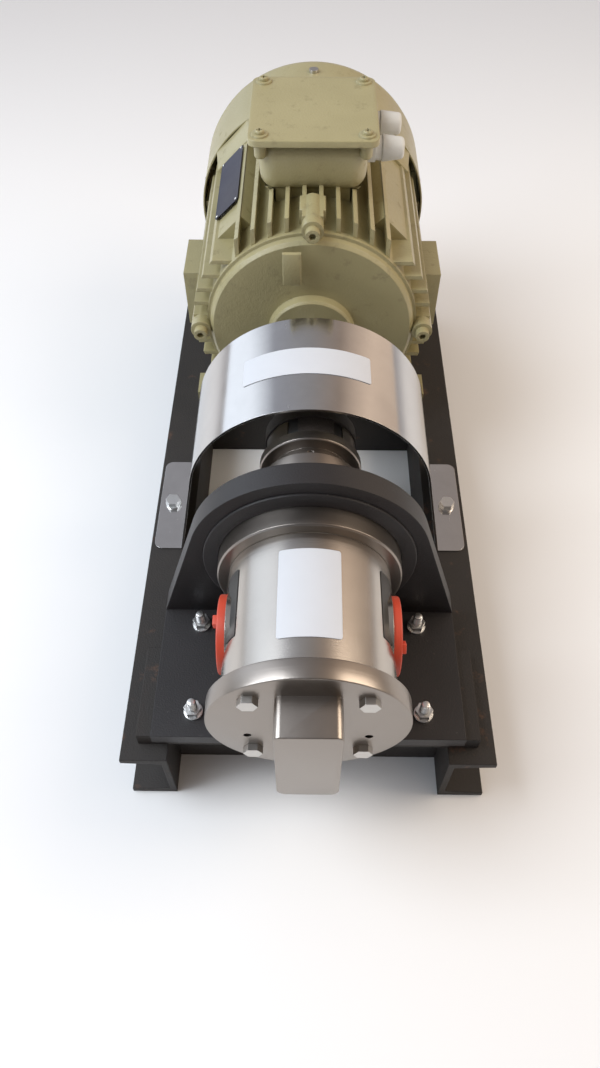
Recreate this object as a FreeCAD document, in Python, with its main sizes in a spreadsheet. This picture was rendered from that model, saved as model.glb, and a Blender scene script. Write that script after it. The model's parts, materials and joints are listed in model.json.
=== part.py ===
import FreeCAD, Part
import math
import os
import re

import Sketcher

# A stainless gear pump, its coupling and its motor on a channel-section skid.
# X is across the skid, Y runs along the shafts from the pump (front) to the
# motor (rear), Z is up from the floor. The origin is under the middle of the set.

DRIVING_SIZES = [
    # Skid
    ("rail_height", 75, "channel section depth"),
    ("rail_flange", 40, "channel flange width"),
    ("rail_web", 5.5, "channel web thickness"),
    ("flange_root", 8.5, "flange thickness at the web"),
    ("flange_toe", 6, "flange thickness at its edge"),
    ("skid_width", 317, "over the rails"),
    ("rail_front_setback", 13, "from the pump cover's face to the rails' front end"),
    ("rail_rear_setback", 12, "from the cowl's rear to the rails' rear end"),
    ("anchor_radius", 7, "foundation bolt hole"),
    ("anchor_inset", 19, "foundation hole from the rail's outer edge"),
    ("anchor_end", 70, "foundation hole from the rail's end"),
    ("pad_thick", 16, "packer under the pump foot"),
    ("pad_width", 288, "front packer"),
    ("pad_depth", 84, "front packer"),
    ("pad_setback", 28, "from the pump cover's face to the front packer"),
    # Pump bracket
    ("foot_thick", 12, "bracket foot plate"),
    ("foot_width", 259, "bracket foot plate"),
    ("foot_setback", 23, "from the pump cover's face to the foot plate"),
    ("bracket_thick", 20, "bracket's upright plate"),
    ("bracket_arch", 99.5, "radius of the upright's arch"),
    ("register_radius", 88, "turned line round the pump flange"),
    ("stud_radius", 3.9, "M8"),
    ("stud_across", 191.6, "between foot studs, across"),
    ("stud_front", 45.3, "from the pump cover's face to the front studs"),
    ("stud_along", 83.5, "between foot studs, along"),
    ("stud_stand", 19, "stud above the foot plate"),
    ("washer_radius", 8, "M8 washer"),
    ("washer_thick", 1.6, "M8 washer"),
    ("nut_across", 13, "M8 nut and bolt head, across flats"),
    ("nut_height", 6.5, "M8 nut"),
    ("head_height", 5.3, "M8 bolt head"),
    # Pump
    ("flange_diameter", 150, "front and rear covers"),
    ("cover_thick", 16, "front cover"),
    ("rear_thick", 19, "rear cover"),
    ("edge_chamfer", 1.2, "cover edges"),
    ("boss_length", 30, "bearing boss in front of the cover"),
    ("boss_height", 98, "bearing boss, over its round ends"),
    ("boss_width", 47, "bearing boss, across its flats"),
    ("body_diameter", 131, "pump body"),
    ("body_length", 108, "pump body"),
    ("gasket_thick", 0.5, "paper gasket"),
    ("bolt_circle", 118, "cover bolts' pitch circle"),
    ("bolt_radius", 3.95, "M8"),
    ("thread_clearance", 0.05, "bolt in its hole"),
    ("bolt_bite", 22, "bolt's length in the body"),
    ("jack_across", 45, "jack screw holes from the pump's middle"),
    ("jack_drop", 19, "jack screw holes below the pump's middle"),
    ("jack_radius", 3, "jack screw holes"),
    ("gear_module", 4, "gears"),
    ("gear_teeth", 12, "each gear"),
    ("gear_tip", 27.75, "tip radius"),
    ("gear_backlash", 0.16, "play on each tooth at the pitch circle"),
    ("tip_clearance", 0.15, "gear tip to body"),
    ("side_clearance", 0.1, "gear face to cover"),
    ("pump_shaft_radius", 11, "both pump shafts"),
    ("running_clearance", 0.04, "shaft in a bush"),
    ("seat_clearance", 0.02, "piece pressed or keyed on its seat"),
    ("bush_radius", 15, "bush outside"),
    ("front_bush_length", 30, "bushes in the front boss"),
    ("rear_bush_length", 15, "bushes in the rear cover"),
    ("port_offset", 3.5, "port axis behind the body's middle"),
    ("port_boss_radius", 29, "port boss"),
    ("port_boss_stand", 6.5, "port boss beyond the body"),
    ("port_radius", 20, "port thread"),
    ("port_thread", 22, "port thread length"),
    ("port_passage", 15, "port passage radius"),
    ("cap_wall", 3, "port cap wall"),
    ("cap_clearance", 0.06, "port cap round its boss"),
    ("cap_skirt", 6, "port cap's grip on its boss"),
    ("housing_radius", 42, "seal housing ring"),
    ("housing_flange_radius", 38, "seal housing flange"),
    ("housing_neck", 27, "seal housing between its flange and ring"),
    ("housing_length", 61.5, "seal housing"),
    ("housing_flange", 12, "seal housing flange"),
    ("housing_ring", 16, "seal housing ring"),
    ("housing_fit", 0.3, "seal housing in the bracket"),
    ("seal_radius", 19, "shaft seal outside"),
    ("seal_length", 10, "shaft seal"),
    # Coupling
    ("hub_gap", 0.5, "seal housing to coupling"),
    ("hub_neck_length", 12, "pump half, neck"),
    ("hub_neck_radius", 33, "pump half, neck"),
    ("hub_disc_length", 10, "pump half, disc"),
    ("hub_disc_radius", 43.6, "pump half, disc"),
    ("jaw_length", 19, "coupling jaws"),
    ("jaw_inner", 19, "coupling jaws' inner radius"),
    ("jaw_outer", 39, "coupling jaws' outer radius"),
    ("jaw_play", 0.1, "jaws to the element"),
    ("element_length", 20, "rubber element"),
    ("motor_disc_length", 14, "motor half, disc"),
    ("motor_hub_length", 124, "motor half"),
    ("motor_hub_radius", 32, "motor half, barrel"),
    ("shaft_grip", 57, "motor shaft inside its coupling half"),
    ("key_width", 6, "pump key"),
    ("key_length", 18, "pump key"),
    ("motor_key_width", 10, "motor key"),
    ("motor_key_length", 50, "motor key"),
    ("set_screw_radius", 3, "coupling set screws"),
    # Guard
    ("guard_radius", 110, "guard's arch"),
    ("guard_rise", 161, "centre of the guard's arch above the floor"),
    ("guard_sheet", 2, "guard sheet"),
    ("guard_foot", 256, "over the guard's sides at the rails"),
    ("guard_tab", 27, "guard foot width"),
    ("guard_length", 114, "guard along the shafts"),
    ("guard_gap", 67, "from the bracket to the guard"),
    ("guard_tab_corner", 8, "rounding of the guard feet"),
    # Motor
    ("shaft_height", 132, "motor shaft above its feet"),
    ("motor_shaft_radius", 19, "drive end"),
    ("motor_shaft_length", 80, "drive end"),
    ("journal_radius", 20, "bearing seats"),
    ("rotor_seat", 24, "rotor seat on the shaft"),
    ("fan_seat", 15, "fan seat on the shaft"),
    ("bearing_radius", 40, "ball bearings, outside"),
    ("bearing_width", 18, "ball bearings"),
    ("shield_boss_stand", 10, "bearing boss in front of the end shield"),
    ("shield_boss_radius", 42, "bearing boss"),
    ("shield_radius", 100, "end shield's face"),
    ("shield_rim", 12, "end shield's rim"),
    ("shield_plate", 8, "end shield's face"),
    ("lug_circle", 110, "end shield bolts from the motor's axis"),
    ("lug_radius", 10, "end shield bolt lugs"),
    ("lug_length", 34, "bolt lugs on the frame"),
    ("socket_head", 6.5, "end shield bolt heads"),
    ("frame_length", 203, "motor frame"),
    ("frame_radius", 104, "motor frame between its fins"),
    ("frame_bore", 95, "stator seat"),
    ("fin_radius", 118, "over the fins"),
    ("fin_pitch", 15.5, "between fins"),
    ("fin_thick", 4, "fins"),
    ("plate_pad_width", 40, "flat pads on the frame's shoulders"),
    ("side_pad_reach", 130, "cast side pads from the motor's axis"),
    ("side_pad_height", 62, "cast side pads"),
    ("side_pad_drop", 35, "cast side pads below the motor's axis"),
    ("side_pad_length", 58, "cast side pads"),
    ("side_pad_setback", 43, "side pads behind the frame's front"),
    ("foot_hole_across", 216, "between motor foot holes"),
    ("foot_hole_along", 140, "between motor foot holes"),
    ("foot_hole_setback", 62, "motor foot holes behind the shaft shoulder"),
    ("motor_foot_width", 257, "over the motor feet"),
    ("motor_foot_length", 32, "each motor foot"),
    ("motor_foot_thick", 14, "each motor foot"),
    ("motor_bolt_radius", 5, "M10 foot bolts"),
    ("core_length", 150, "stator and rotor stacks"),
    ("rotor_radius", 60, "rotor"),
    ("air_gap", 0.5, "rotor to stator"),
    ("winding_reach", 22, "end turns beyond the stack"),
    ("winding_inner", 66, "end turns, inner radius"),
    ("winding_outer", 86, "end turns, outer radius"),
    ("rear_rim", 12, "rear end shield's rim"),
    ("cowl_radius", 125, "fan cowl"),
    ("cowl_sheet", 1.6, "fan cowl sheet"),
    ("cowl_length", 98, "fan cowl"),
    ("cowl_round", 16, "fan cowl's rear corner"),
    ("cowl_overlap", 4, "fan cowl over the frame"),
    ("cowl_screw_inset", 37, "cowl screws from the rear"),
    ("fan_radius", 92, "fan"),
    ("fan_hub", 24, "fan hub"),
    ("fan_width", 30, "fan blades"),
    ("fan_blade", 3, "fan blades"),
    ("fan_rear_gap", 18, "fan to the cowl's grille"),
    # Terminal box
    ("box_width", 115, "terminal box, across"),
    ("box_depth", 119, "terminal box, along"),
    ("box_height", 46, "terminal box below its lid"),
    ("box_taper", 7, "terminal box's foot inside its top, each side"),
    ("box_wall", 4.5, "terminal box"),
    ("box_setback", 41, "terminal box behind the frame's front"),
    ("box_lift", 142.3, "terminal box foot above the pump's axis"),
    ("lid_thick", 5, "terminal box lid"),
    ("lid_gasket", 1.5, "terminal box gasket"),
    ("lid_screw_inset", 10, "lid screws from the lid's edges"),
    ("lid_boss_radius", 7.5, "bosses under the lid screws"),
    ("neck_width", 70, "frame neck under the terminal box"),
    ("gland_radius", 10, "cable glands' nuts"),
    ("gland_bore", 6.5, "cable glands"),
    ("gland_stand", 26, "cable glands beyond the box"),
    ("gland_pitch", 45, "between cable glands"),
    ("gland_drop", 30, "cable glands below the lid"),
]

# Places worked out from the driving sizes, in the order they depend on each other.
WORKED_OUT = [
    ("centre_distance", "gear_module * gear_teeth"),
    ("pump_length", "cover_thick + 2 * gasket_thick + body_length + rear_thick"),
    ("hub_length", "hub_neck_length + hub_disc_length"),
    ("coupling_length", "hub_length + element_length + motor_hub_length - shaft_grip"),
    ("to_shoulder", "pump_length + bracket_thick + housing_length - bracket_thick + hub_gap"
                    " + coupling_length + motor_shaft_length"),
    ("motor_length", "shield_boss_stand + shield_rim + frame_length - cowl_overlap + cowl_length"),
    ("overall_length", "boss_length + to_shoulder + motor_length"),
    ("boss_face", "0 - overall_length / 2"),
    ("cover_face", "boss_face + boss_length"),
    ("cover_back", "cover_face + cover_thick"),
    ("body_front", "cover_back + gasket_thick"),
    ("body_back", "body_front + body_length"),
    ("rear_front", "body_back + gasket_thick"),
    ("rear_back", "rear_front + rear_thick"),
    ("bracket_back", "rear_back + bracket_thick"),
    ("housing_back", "rear_back + housing_length"),
    ("hub_front", "housing_back + hub_gap"),
    ("disc_front", "hub_front + hub_neck_length"),
    ("element_front", "disc_front + hub_disc_length"),
    ("motor_hub_front", "element_front + element_length"),
    ("motor_hub_back", "motor_hub_front + motor_hub_length"),
    ("shaft_front", "motor_hub_back - shaft_grip"),
    ("shoulder", "shaft_front + motor_shaft_length"),
    ("shield_face", "shoulder + shield_boss_stand"),
    ("frame_front", "shield_face + shield_rim"),
    ("frame_back", "frame_front + frame_length"),
    ("cowl_front", "frame_back - cowl_overlap"),
    ("cowl_back", "cowl_front + cowl_length"),
    ("front_bearing", "shield_face + 3"),
    ("rear_bearing", "frame_back - 6"),
    ("core_front", "(frame_front + frame_back) / 2 - core_length / 2"),
    ("core_back", "core_front + core_length"),
    ("fan_back", "cowl_back - cowl_sheet - fan_rear_gap"),
    ("fan_front", "fan_back - fan_width"),
    ("rail_front", "cover_face + rail_front_setback"),
    ("rail_back", "cowl_back - rail_rear_setback"),
    ("rail_length", "rail_back - rail_front"),
    ("web_inside", "skid_width / 2 - rail_flange"),
    ("anchor_x", "skid_width / 2 - anchor_inset"),
    ("foot_front", "cover_face + foot_setback"),
    ("pad_front", "cover_face + pad_setback"),
    ("stud_row", "cover_face + stud_front"),
    ("pad_top", "rail_height + pad_thick"),
    ("foot_top", "pad_top + foot_thick"),
    ("drive_axis", "rail_height + shaft_height"),
    ("driven_axis", "drive_axis - centre_distance"),
    ("pump_axis", "drive_axis - centre_distance / 2"),
    ("port_station", "body_front + body_length / 2 + port_offset"),
    ("port_face", "body_diameter / 2 + port_boss_stand"),
    ("cap_inner", "port_face - cap_skirt"),
    ("cap_outer", "port_face + cap_wall"),
    ("body_bore", "gear_tip + tip_clearance"),
    ("guard_front", "bracket_back + guard_gap"),
    ("guard_back", "guard_front + guard_length"),
    ("foot_hole_front", "shoulder + foot_hole_setback"),
    ("foot_hole_back", "foot_hole_front + foot_hole_along"),
    ("box_front", "frame_front + box_setback"),
    ("box_middle", "box_front + box_depth / 2"),
    ("box_bottom", "pump_axis + box_lift"),
    ("box_top", "box_bottom + box_height"),
    ("lid_bottom", "box_top + lid_gasket"),
    ("lid_top", "lid_bottom + lid_thick"),
]

V = FreeCAD.Vector
doc = FreeCAD.newDocument("gear_pump")
sizes = doc.addObject("Spreadsheet::Sheet", "sizes")
for row, (alias, number, note) in enumerate(DRIVING_SIZES, start=1):
    sizes.set(f"A{row}", alias)
    sizes.set(f"B{row}", str(number))
    sizes.set(f"C{row}", note)
    sizes.setAlias(f"B{row}", alias)
at = doc.addObject("App::VarSet", "at")
HOLDER = {alias: "sizes" for alias, _, _ in DRIVING_SIZES}
HOLDER.update({name: "at" for name, _ in WORKED_OUT})


def full(rule):
    """The rule with each size's name led by the object that holds it."""
    return re.sub(r"[a-z_]+", lambda found: f"{HOLDER[found[0]]}.{found[0]}" if found[0] in HOLDER else found[0],
                  str(rule))


for name, rule in WORKED_OUT:
    at.addProperty("App::PropertyFloat", name)
    at.setExpression(name, full(rule))
doc.recompute()

ALONG = {"x": FreeCAD.Rotation(V(0, 1, 0), 90), "y": FreeCAD.Rotation(V(1, 0, 0), -90), "z": FreeCAD.Rotation()}
nodes = []


def value(rule):
    """The number that a rule gives now."""
    found = sizes.evalExpression(full(rule))
    return float(getattr(found, "Value", found))


def bind(item, **rules):
    for setting, rule in rules.items():
        item.setExpression(setting, full(rule))
    return item


def seat(item, x, y, z, turn=None):
    """Places an object by rules for its three coordinates."""
    item.Placement = FreeCAD.Placement(V(0, 0, 0), turn or FreeCAD.Rotation())
    for side, rule in zip("xyz", (x, y, z)):
        item.setExpression(f"Placement.Base.{side}", full(rule))
    return item


def rod(radius, length, x, y, z, way="y"):
    item = doc.addObject("Part::Cylinder", "rod")
    bind(item, Radius=radius, Height=length)
    return seat(item, x, y, z, ALONG[way])


def wedge_of_ring(outer, inner, length, y, z, start, sweep):
    """A sector of a ring about a line along Y; angles in degrees, from +X towards +Z."""
    turn = FreeCAD.Rotation(V(0, 1, 0), -start).multiply(FreeCAD.Rotation(V(1, 0, 0), 90))
    solids = []
    for radius in (outer, inner):
        item = doc.addObject("Part::Cylinder", "sector")
        item.Angle = sweep
        bind(item, Radius=radius, Height=length)
        solids.append(seat(item, 0, f"({y}) + ({length})", z, turn))
    return cut(solids[0], solids[1])


def block(width, depth, height, x, y, z):
    """A box centred on x, with its near lower edge at y and z."""
    item = doc.addObject("Part::Box", "block")
    bind(item, Length=width, Width=depth, Height=height)
    return seat(item, f"({x}) - ({width}) / 2", y, z)


def hexagon(across, length, x, y, z, way="z"):
    item = doc.addObject("Part::Prism", "hexagon")
    item.Polygon = 6
    bind(item, Circumradius=f"({across}) / sqrt(3)", Height=length)
    return seat(item, x, y, z, ALONG[way])


def tube(outer, inner, length, x, y, z, way="y"):
    return cut(rod(outer, length, x, y, z, way), rod(inner, length, x, y, z, way))


def fuse(*items):
    item = doc.addObject("Part::MultiFuse", "fused")
    item.Shapes = list(items)
    return item


def cut(base, *tools):
    item = doc.addObject("Part::Cut", "cut")
    item.Base = base
    item.Tool = tools[0] if len(tools) == 1 else fuse(*tools)
    return item


def common(base, tool):
    item = doc.addObject("Part::Common", "common")
    item.Base = base
    item.Tool = tool
    return item


def group(*items):
    item = doc.addObject("Part::Compound", "group")
    item.Links = list(items)
    return item


def node(label, item):
    item.Label = label
    nodes.append(item)
    return item


def plane_of(body, role):
    return [item for item in body.Origin.OriginFeatures if item.Role == role][0]


def outline_sketch(body, role, corners):
    """A closed sketch of straight lines, with each corner held by two rules."""
    sketch = body.newObject("Sketcher::SketchObject", body.Name + "_outline")
    sketch.AttachmentSupport = [(plane_of(body, role), "")]
    sketch.MapMode = "FlatFace"
    count = len(corners)
    points = [V(value(across), value(up), 0) for across, up in corners]
    for index in range(count):
        sketch.addGeometry(Part.LineSegment(points[index], points[(index + 1) % count]))
    for index, rules in enumerate(corners):
        sketch.addConstraint(Sketcher.Constraint("Coincident", index, 2, (index + 1) % count, 1))
        for kind, rule, now in zip(("DistanceX", "DistanceY"), rules, (points[index].x, points[index].y)):
            held = sketch.addConstraint(Sketcher.Constraint(kind, -1, 1, index, 1, now))
            sketch.renameConstraint(held, f"{kind}{index}")
            sketch.setExpression(f"Constraints.{kind}{index}", full(rule))
    return sketch


def turned(label, height, corners):
    """A body turned about a line along Y at the given height; corners are radius and station."""
    body = doc.addObject("PartDesign::Body", label + "_body")
    sketch = outline_sketch(body, "XY_Plane", corners)
    turning = body.newObject("PartDesign::Revolution", label + "_turning")
    turning.Profile = sketch
    turning.ReferenceAxis = (sketch, ["V_Axis"])
    turning.Angle = 360
    return seat(body, 0, 0, height)


def padded(label, role, corners, length, x, y, z):
    """A body padded from an outline; on XZ_Plane it runs towards +Y, on YZ_Plane towards +X."""
    body = doc.addObject("PartDesign::Body", label + "_body")
    sketch = outline_sketch(body, role, corners)
    pad = body.newObject("PartDesign::Pad", label + "_pad")
    pad.Profile = sketch
    pad.Reversed = role == "XZ_Plane"
    bind(pad, Length=length)
    return seat(body, x, y, z)


def around(count, radius, height, start=0.0):
    """Rules for the x and z of points spaced round a line along Y."""
    for index in range(count):
        angle = start + 360 * index / count
        yield f"({radius}) * cos({angle})", f"({height}) + ({radius}) * sin({angle})", angle


def four_corners(across, first, along):
    """Rules for the x and y of the four corners of a rectangle."""
    for side in (-1, 1):
        for step in (0, 1):
            yield f"{side} * ({across}) / 2", f"({first}) + {step} * ({along})"


# Skid

def make_rail(label, side):
    inside, outside = f"{side} * web_inside", f"{side} * skid_width / 2"
    web = f"{side} * (web_inside + rail_web)"
    corners = [
        (inside, 0), (outside, 0), (outside, "flange_toe"), (web, "flange_root"),
        (web, "rail_height - flange_root"), (outside, "rail_height - flange_toe"),
        (outside, "rail_height"), (inside, "rail_height"),
    ]
    rail = padded(label, "XZ_Plane", corners, "rail_length", 0, "rail_front", 0)
    holes = [rod("anchor_radius", "rail_height / 2", f"{side} * anchor_x", y, "0 - 5", "z")
             for y in ("rail_front + anchor_end", "rail_back - anchor_end")]
    holes.append(rod("bolt_radius + thread_clearance", "rail_height", f"{side} * (guard_foot + guard_tab) / 2",
                     "(guard_front + guard_back) / 2", "rail_height / 2", "z"))
    node(label, cut(rail, *holes))


def make_cross_member(label, station, bolt_holes):
    """A channel on its side between the rails, its flanges towards the motor."""
    corners = [
        (0, 0), ("rail_flange", 0), ("rail_flange", "flange_toe"), ("rail_web", "flange_toe"),
        ("rail_web", "rail_height - flange_toe"), ("rail_flange", "rail_height - flange_toe"),
        ("rail_flange", "rail_height"), (0, "rail_height"),
    ]
    member = padded(label, "YZ_Plane", corners, "2 * web_inside", "0 - web_inside", station, 0)
    if bolt_holes:
        holes = [rod("motor_bolt_radius + thread_clearance", "rail_height", f"{side} * foot_hole_across / 2",
                     f"({station}) + rail_flange / 2 + 2", "rail_height / 2", "z") for side in (-1, 1)]
        member = cut(member, *holes)
    node(label, member)


def make_pad(label, width, depth, station, stud_station):
    holes = [rod("stud_radius + thread_clearance", "pad_thick + 2", f"{side} * stud_across / 2", stud_station,
                 "rail_height - 1", "z") for side in (-1, 1)]
    node(label, cut(block(width, depth, "pad_thick", 0, station, "rail_height"), *holes))


def make_skid():
    make_rail("rail_left", -1)
    make_rail("rail_right", 1)
    make_cross_member("front_cross_member", "pad_front + 20", False)
    for label, station in (("front", "foot_hole_front"), ("rear", "foot_hole_back")):
        make_cross_member(f"motor_cross_member_{label}", f"{station} - rail_flange / 2 - 2", True)
    make_pad("front_packer", "pad_width", "pad_depth", "pad_front", "stud_row")
    make_pad("rear_packer", "foot_width - 8", "bracket_back - pad_front - pad_depth - 8", "pad_front + pad_depth + 4",
             "stud_row + stud_along")


# Pump bracket

def upright_body():
    """The bracket's upright: an arch over the pump, with straight sides that run tangent to it."""
    body = doc.addObject("PartDesign::Body", "upright_body")
    sketch = body.newObject("Sketcher::SketchObject", "upright_outline")
    sketch.AttachmentSupport = [(plane_of(body, "XZ_Plane"), "")]
    sketch.MapMode = "FlatFace"
    half, drop, arch = value("foot_width / 2"), value("foot_top - pump_axis"), value("bracket_arch")
    reach = math.hypot(half, drop)
    lean = math.acos(arch / reach) + math.atan2(drop, half)
    touch = V(arch * math.cos(lean), arch * math.sin(lean), 0)
    left, right, mirrored = V(-half, drop, 0), V(half, drop, 0), V(-touch.x, touch.y, 0)
    sketch.addGeometry(Part.LineSegment(left, right))
    sketch.addGeometry(Part.LineSegment(right, touch))
    sketch.addGeometry(Part.ArcOfCircle(Part.Circle(V(0, 0, 0), V(0, 0, 1), arch), lean, math.pi - lean))
    sketch.addGeometry(Part.LineSegment(mirrored, left))
    constrain = sketch.addConstraint
    constrain(Sketcher.Constraint("Coincident", 0, 2, 1, 1))
    constrain(Sketcher.Constraint("Coincident", 3, 2, 0, 1))
    constrain(Sketcher.Constraint("Tangent", 1, 2, 2, 1))
    constrain(Sketcher.Constraint("Tangent", 2, 2, 3, 1))
    constrain(Sketcher.Constraint("Coincident", 2, 3, -1, 1))
    held = [
        ("arch", Sketcher.Constraint("Radius", 2, arch), "bracket_arch"),
        ("right_x", Sketcher.Constraint("DistanceX", -1, 1, 0, 2, half), "foot_width / 2"),
        ("right_y", Sketcher.Constraint("DistanceY", -1, 1, 0, 2, drop), "foot_top - pump_axis"),
        ("left_x", Sketcher.Constraint("DistanceX", -1, 1, 0, 1, -half), "0 - foot_width / 2"),
        ("left_y", Sketcher.Constraint("DistanceY", -1, 1, 0, 1, drop), "foot_top - pump_axis"),
    ]
    for name, constraint, rule in held:
        sketch.renameConstraint(constrain(constraint), name)
        sketch.setExpression(f"Constraints.{name}", full(rule))
    pad = body.newObject("PartDesign::Pad", "upright_pad")
    pad.Profile = sketch
    pad.Reversed = True
    bind(pad, Length="bracket_thick")
    return seat(body, 0, "rear_back", "pump_axis")


def make_bracket():
    foot = block("foot_width", "bracket_back - foot_front", "foot_thick", 0, "foot_front", "pad_top")
    register = tube("register_radius", "register_radius - 1.5", 1, 0, "rear_back", "pump_axis")
    holes = [rod("stud_radius + thread_clearance", "foot_thick + 2", x, y, "pad_top - 1", "z")
             for x, y in four_corners("stud_across", "stud_row", "stud_along")]
    holes += [rod("bolt_radius + thread_clearance", "bracket_thick + 2", x, "rear_back - 1", z)
              for x, z, _ in around(4, "bolt_circle / 2", "pump_axis", 45)]
    holes.append(rod("housing_flange_radius + housing_fit", "bracket_thick + 2", 0, "rear_back - 1", "drive_axis"))
    node("pump_bracket", cut(fuse(foot, upright_body()), register, *holes))
    corners = list(four_corners("stud_across", "stud_row", "stud_along"))
    node("foot_studs", group(*[rod("stud_radius", "pad_thick + foot_thick + stud_stand", x, y, "rail_height", "z")
                               for x, y in corners]))
    node("foot_washers", group(*[tube("washer_radius", "stud_radius + 0.2", "washer_thick", x, y, "foot_top", "z")
                                 for x, y in corners]))
    nuts = [cut(hexagon("nut_across", "nut_height", x, y, "foot_top + washer_thick"),
                rod("stud_radius + thread_clearance", "nut_height", x, y, "foot_top + washer_thick", "z"))
            for x, y in corners]
    node("foot_nuts", group(*nuts))


# Pump

def figure_eight(radius, length, station):
    """The two overlapping bores that the gears turn in."""
    return [rod(radius, length, 0, station, height) for height in ("drive_axis", "driven_axis")]


def bolt_holes(length, station):
    return [rod("bolt_radius + thread_clearance", length, x, station, z)
            for x, z, _ in around(4, "bolt_circle / 2", "pump_axis", 45)]


def make_front_cover():
    disc = turned("cover_disc", "pump_axis", [
        (0, "cover_face"), ("flange_diameter / 2 - edge_chamfer", "cover_face"),
        ("flange_diameter / 2", "cover_face + edge_chamfer"), ("flange_diameter / 2", "cover_back - edge_chamfer"),
        ("flange_diameter / 2 - edge_chamfer", "cover_back"), (0, "cover_back"),
    ])
    round_boss = turned("boss_round", "pump_axis", [
        (0, "boss_face"), ("boss_height / 2 - 2", "boss_face"), ("boss_height / 2", "boss_face + 2"),
        ("boss_height / 2", "cover_face + 1"), (0, "cover_face + 1"),
    ])
    boss = common(round_boss, block("boss_width", "boss_length + 2", "boss_height", 0, "boss_face",
                                    "pump_axis - boss_height / 2"))
    pockets = [rod("bush_radius + seat_clearance", "front_bush_length", 0, "cover_back - front_bush_length", height)
               for height in ("drive_axis", "driven_axis")]
    jacks = [rod("jack_radius", "cover_thick + 2", f"{side} * jack_across", "cover_face - 1", "pump_axis - jack_drop")
             for side in (-1, 1)]
    node("front_cover", cut(fuse(disc, boss), *pockets, *jacks, *bolt_holes("cover_thick + 2", "cover_face - 1")))


def make_gasket(label, station):
    plate = rod("body_diameter / 2", "gasket_thick", 0, station, "pump_axis")
    node(label, cut(plate, *figure_eight("body_bore", "gasket_thick", station),
                    *bolt_holes("gasket_thick", station)))


def make_pump_body():
    barrel = turned("barrel", "pump_axis", [
        (0, "body_front"), ("body_diameter / 2", "body_front"), ("body_diameter / 2", "body_back"), (0, "body_back"),
    ])
    bosses = rod("port_boss_radius", "2 * port_face", "0 - port_face", "port_station", "pump_axis", "x")
    threads = [rod("port_radius", "port_thread + 1", x, "port_station", "pump_axis", "x")
               for x in ("0 - port_face - 1", "port_face - port_thread")]
    passage = rod("port_passage", "2 * port_face", "0 - port_face", "port_station", "pump_axis", "x")
    ends = bolt_holes("bolt_bite + 6", "body_front - 1") + bolt_holes("bolt_bite + 6", "body_back - bolt_bite - 5")
    node("pump_body", cut(fuse(barrel, bosses), *figure_eight("body_bore", "body_length", "body_front"),
                          *threads, passage, *ends))


def make_rear_cover():
    disc = turned("rear_disc", "pump_axis", [
        (0, "rear_front"), ("flange_diameter / 2 - edge_chamfer", "rear_front"),
        ("flange_diameter / 2", "rear_front + edge_chamfer"), ("flange_diameter / 2", "rear_back - edge_chamfer"),
        ("flange_diameter / 2 - edge_chamfer", "rear_back"), (0, "rear_back"),
    ])
    pockets = [rod("bush_radius + seat_clearance", "rear_bush_length", 0, "rear_front", height)
               for height in ("drive_axis", "driven_axis")]
    shaft_way = rod("pump_shaft_radius + 0.5", "rear_thick + 2", 0, "rear_front - 1", "drive_axis")
    screws = [rod("set_screw_radius + thread_clearance", 12, x, "rear_back - 12", z)
              for x, z, _ in around(3, "housing_flange_radius - 5.5", "drive_axis", 90)]
    node("rear_cover", cut(disc, *pockets, shaft_way, *screws, *bolt_holes("rear_thick + 2", "rear_front - 1")))


def hex_bolts(head_station, length, shank_station):
    bolts = []
    for x, z, _ in around(4, "bolt_circle / 2", "pump_axis", 45):
        head = hexagon("nut_across", "head_height", x, head_station, z, "y")
        bolts.append(fuse(head, rod("bolt_radius", length, x, shank_station, z)))
    return group(*bolts)


def involute_gear(turned_by):
    """One gear's outline in its own plane: involute flanks, radial roots, arcs at tip and root."""
    teeth, module = int(value("gear_teeth")), value("gear_module")
    pitch, tip = module * teeth / 2, value("gear_tip")
    root, pressure = pitch - 1.25 * module, math.radians(20)
    base = pitch * math.cos(pressure)
    spread = math.tan(pressure) - pressure
    half_tooth = math.pi / (2 * teeth) - value("gear_backlash") / (2 * pitch)

    def flank(radius):
        """The angle from a tooth's middle to its flank at a radius."""
        angle = math.acos(min(1.0, base / radius))
        return half_tooth + spread - (math.tan(angle) - angle)

    def point(radius, angle):
        return V(radius * math.cos(angle), radius * math.sin(angle), 0)

    edges = []
    steps = [base + (tip - base) * (step / 4) ** 1.5 for step in range(5)]
    for tooth in range(teeth):
        middle = 2 * math.pi * tooth / teeth + turned_by
        rising = [point(radius, middle - flank(radius)) for radius in steps]
        falling = [point(radius, middle + flank(radius)) for radius in reversed(steps)]
        foot_in, foot_out = point(root, middle - flank(base)), point(root, middle + flank(base))
        following = middle + 2 * math.pi / teeth
        for points in (rising, falling):
            curve = Part.BSplineCurve()
            curve.interpolate(points)
            edges.append(curve.toShape())
        edges.append(Part.LineSegment(foot_in, rising[0]).toShape())
        edges.append(Part.Arc(rising[-1], point(tip, middle), falling[0]).toShape())
        edges.append(Part.LineSegment(falling[-1], foot_out).toShape())
        valley = point(root, (middle + following) / 2)
        edges.append(Part.Arc(foot_out, valley, point(root, following - flank(base))).toShape())
    return Part.Face(Part.Wire(Part.__sortEdges__(edges)))


def make_gear(label, height, turned_by):
    length = value("body_length + 2 * gasket_thick - 2 * side_clearance")
    solid = involute_gear(turned_by).extrude(V(0, 0, length))
    bore = Part.makeCylinder(value("pump_shaft_radius + seat_clearance"), length)
    gear = doc.addObject("Part::Feature", "gear")
    gear.Shape = solid.cut(bore)
    seat(gear, 0, "cover_back + side_clearance", height, ALONG["y"])
    node(label, gear)


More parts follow.
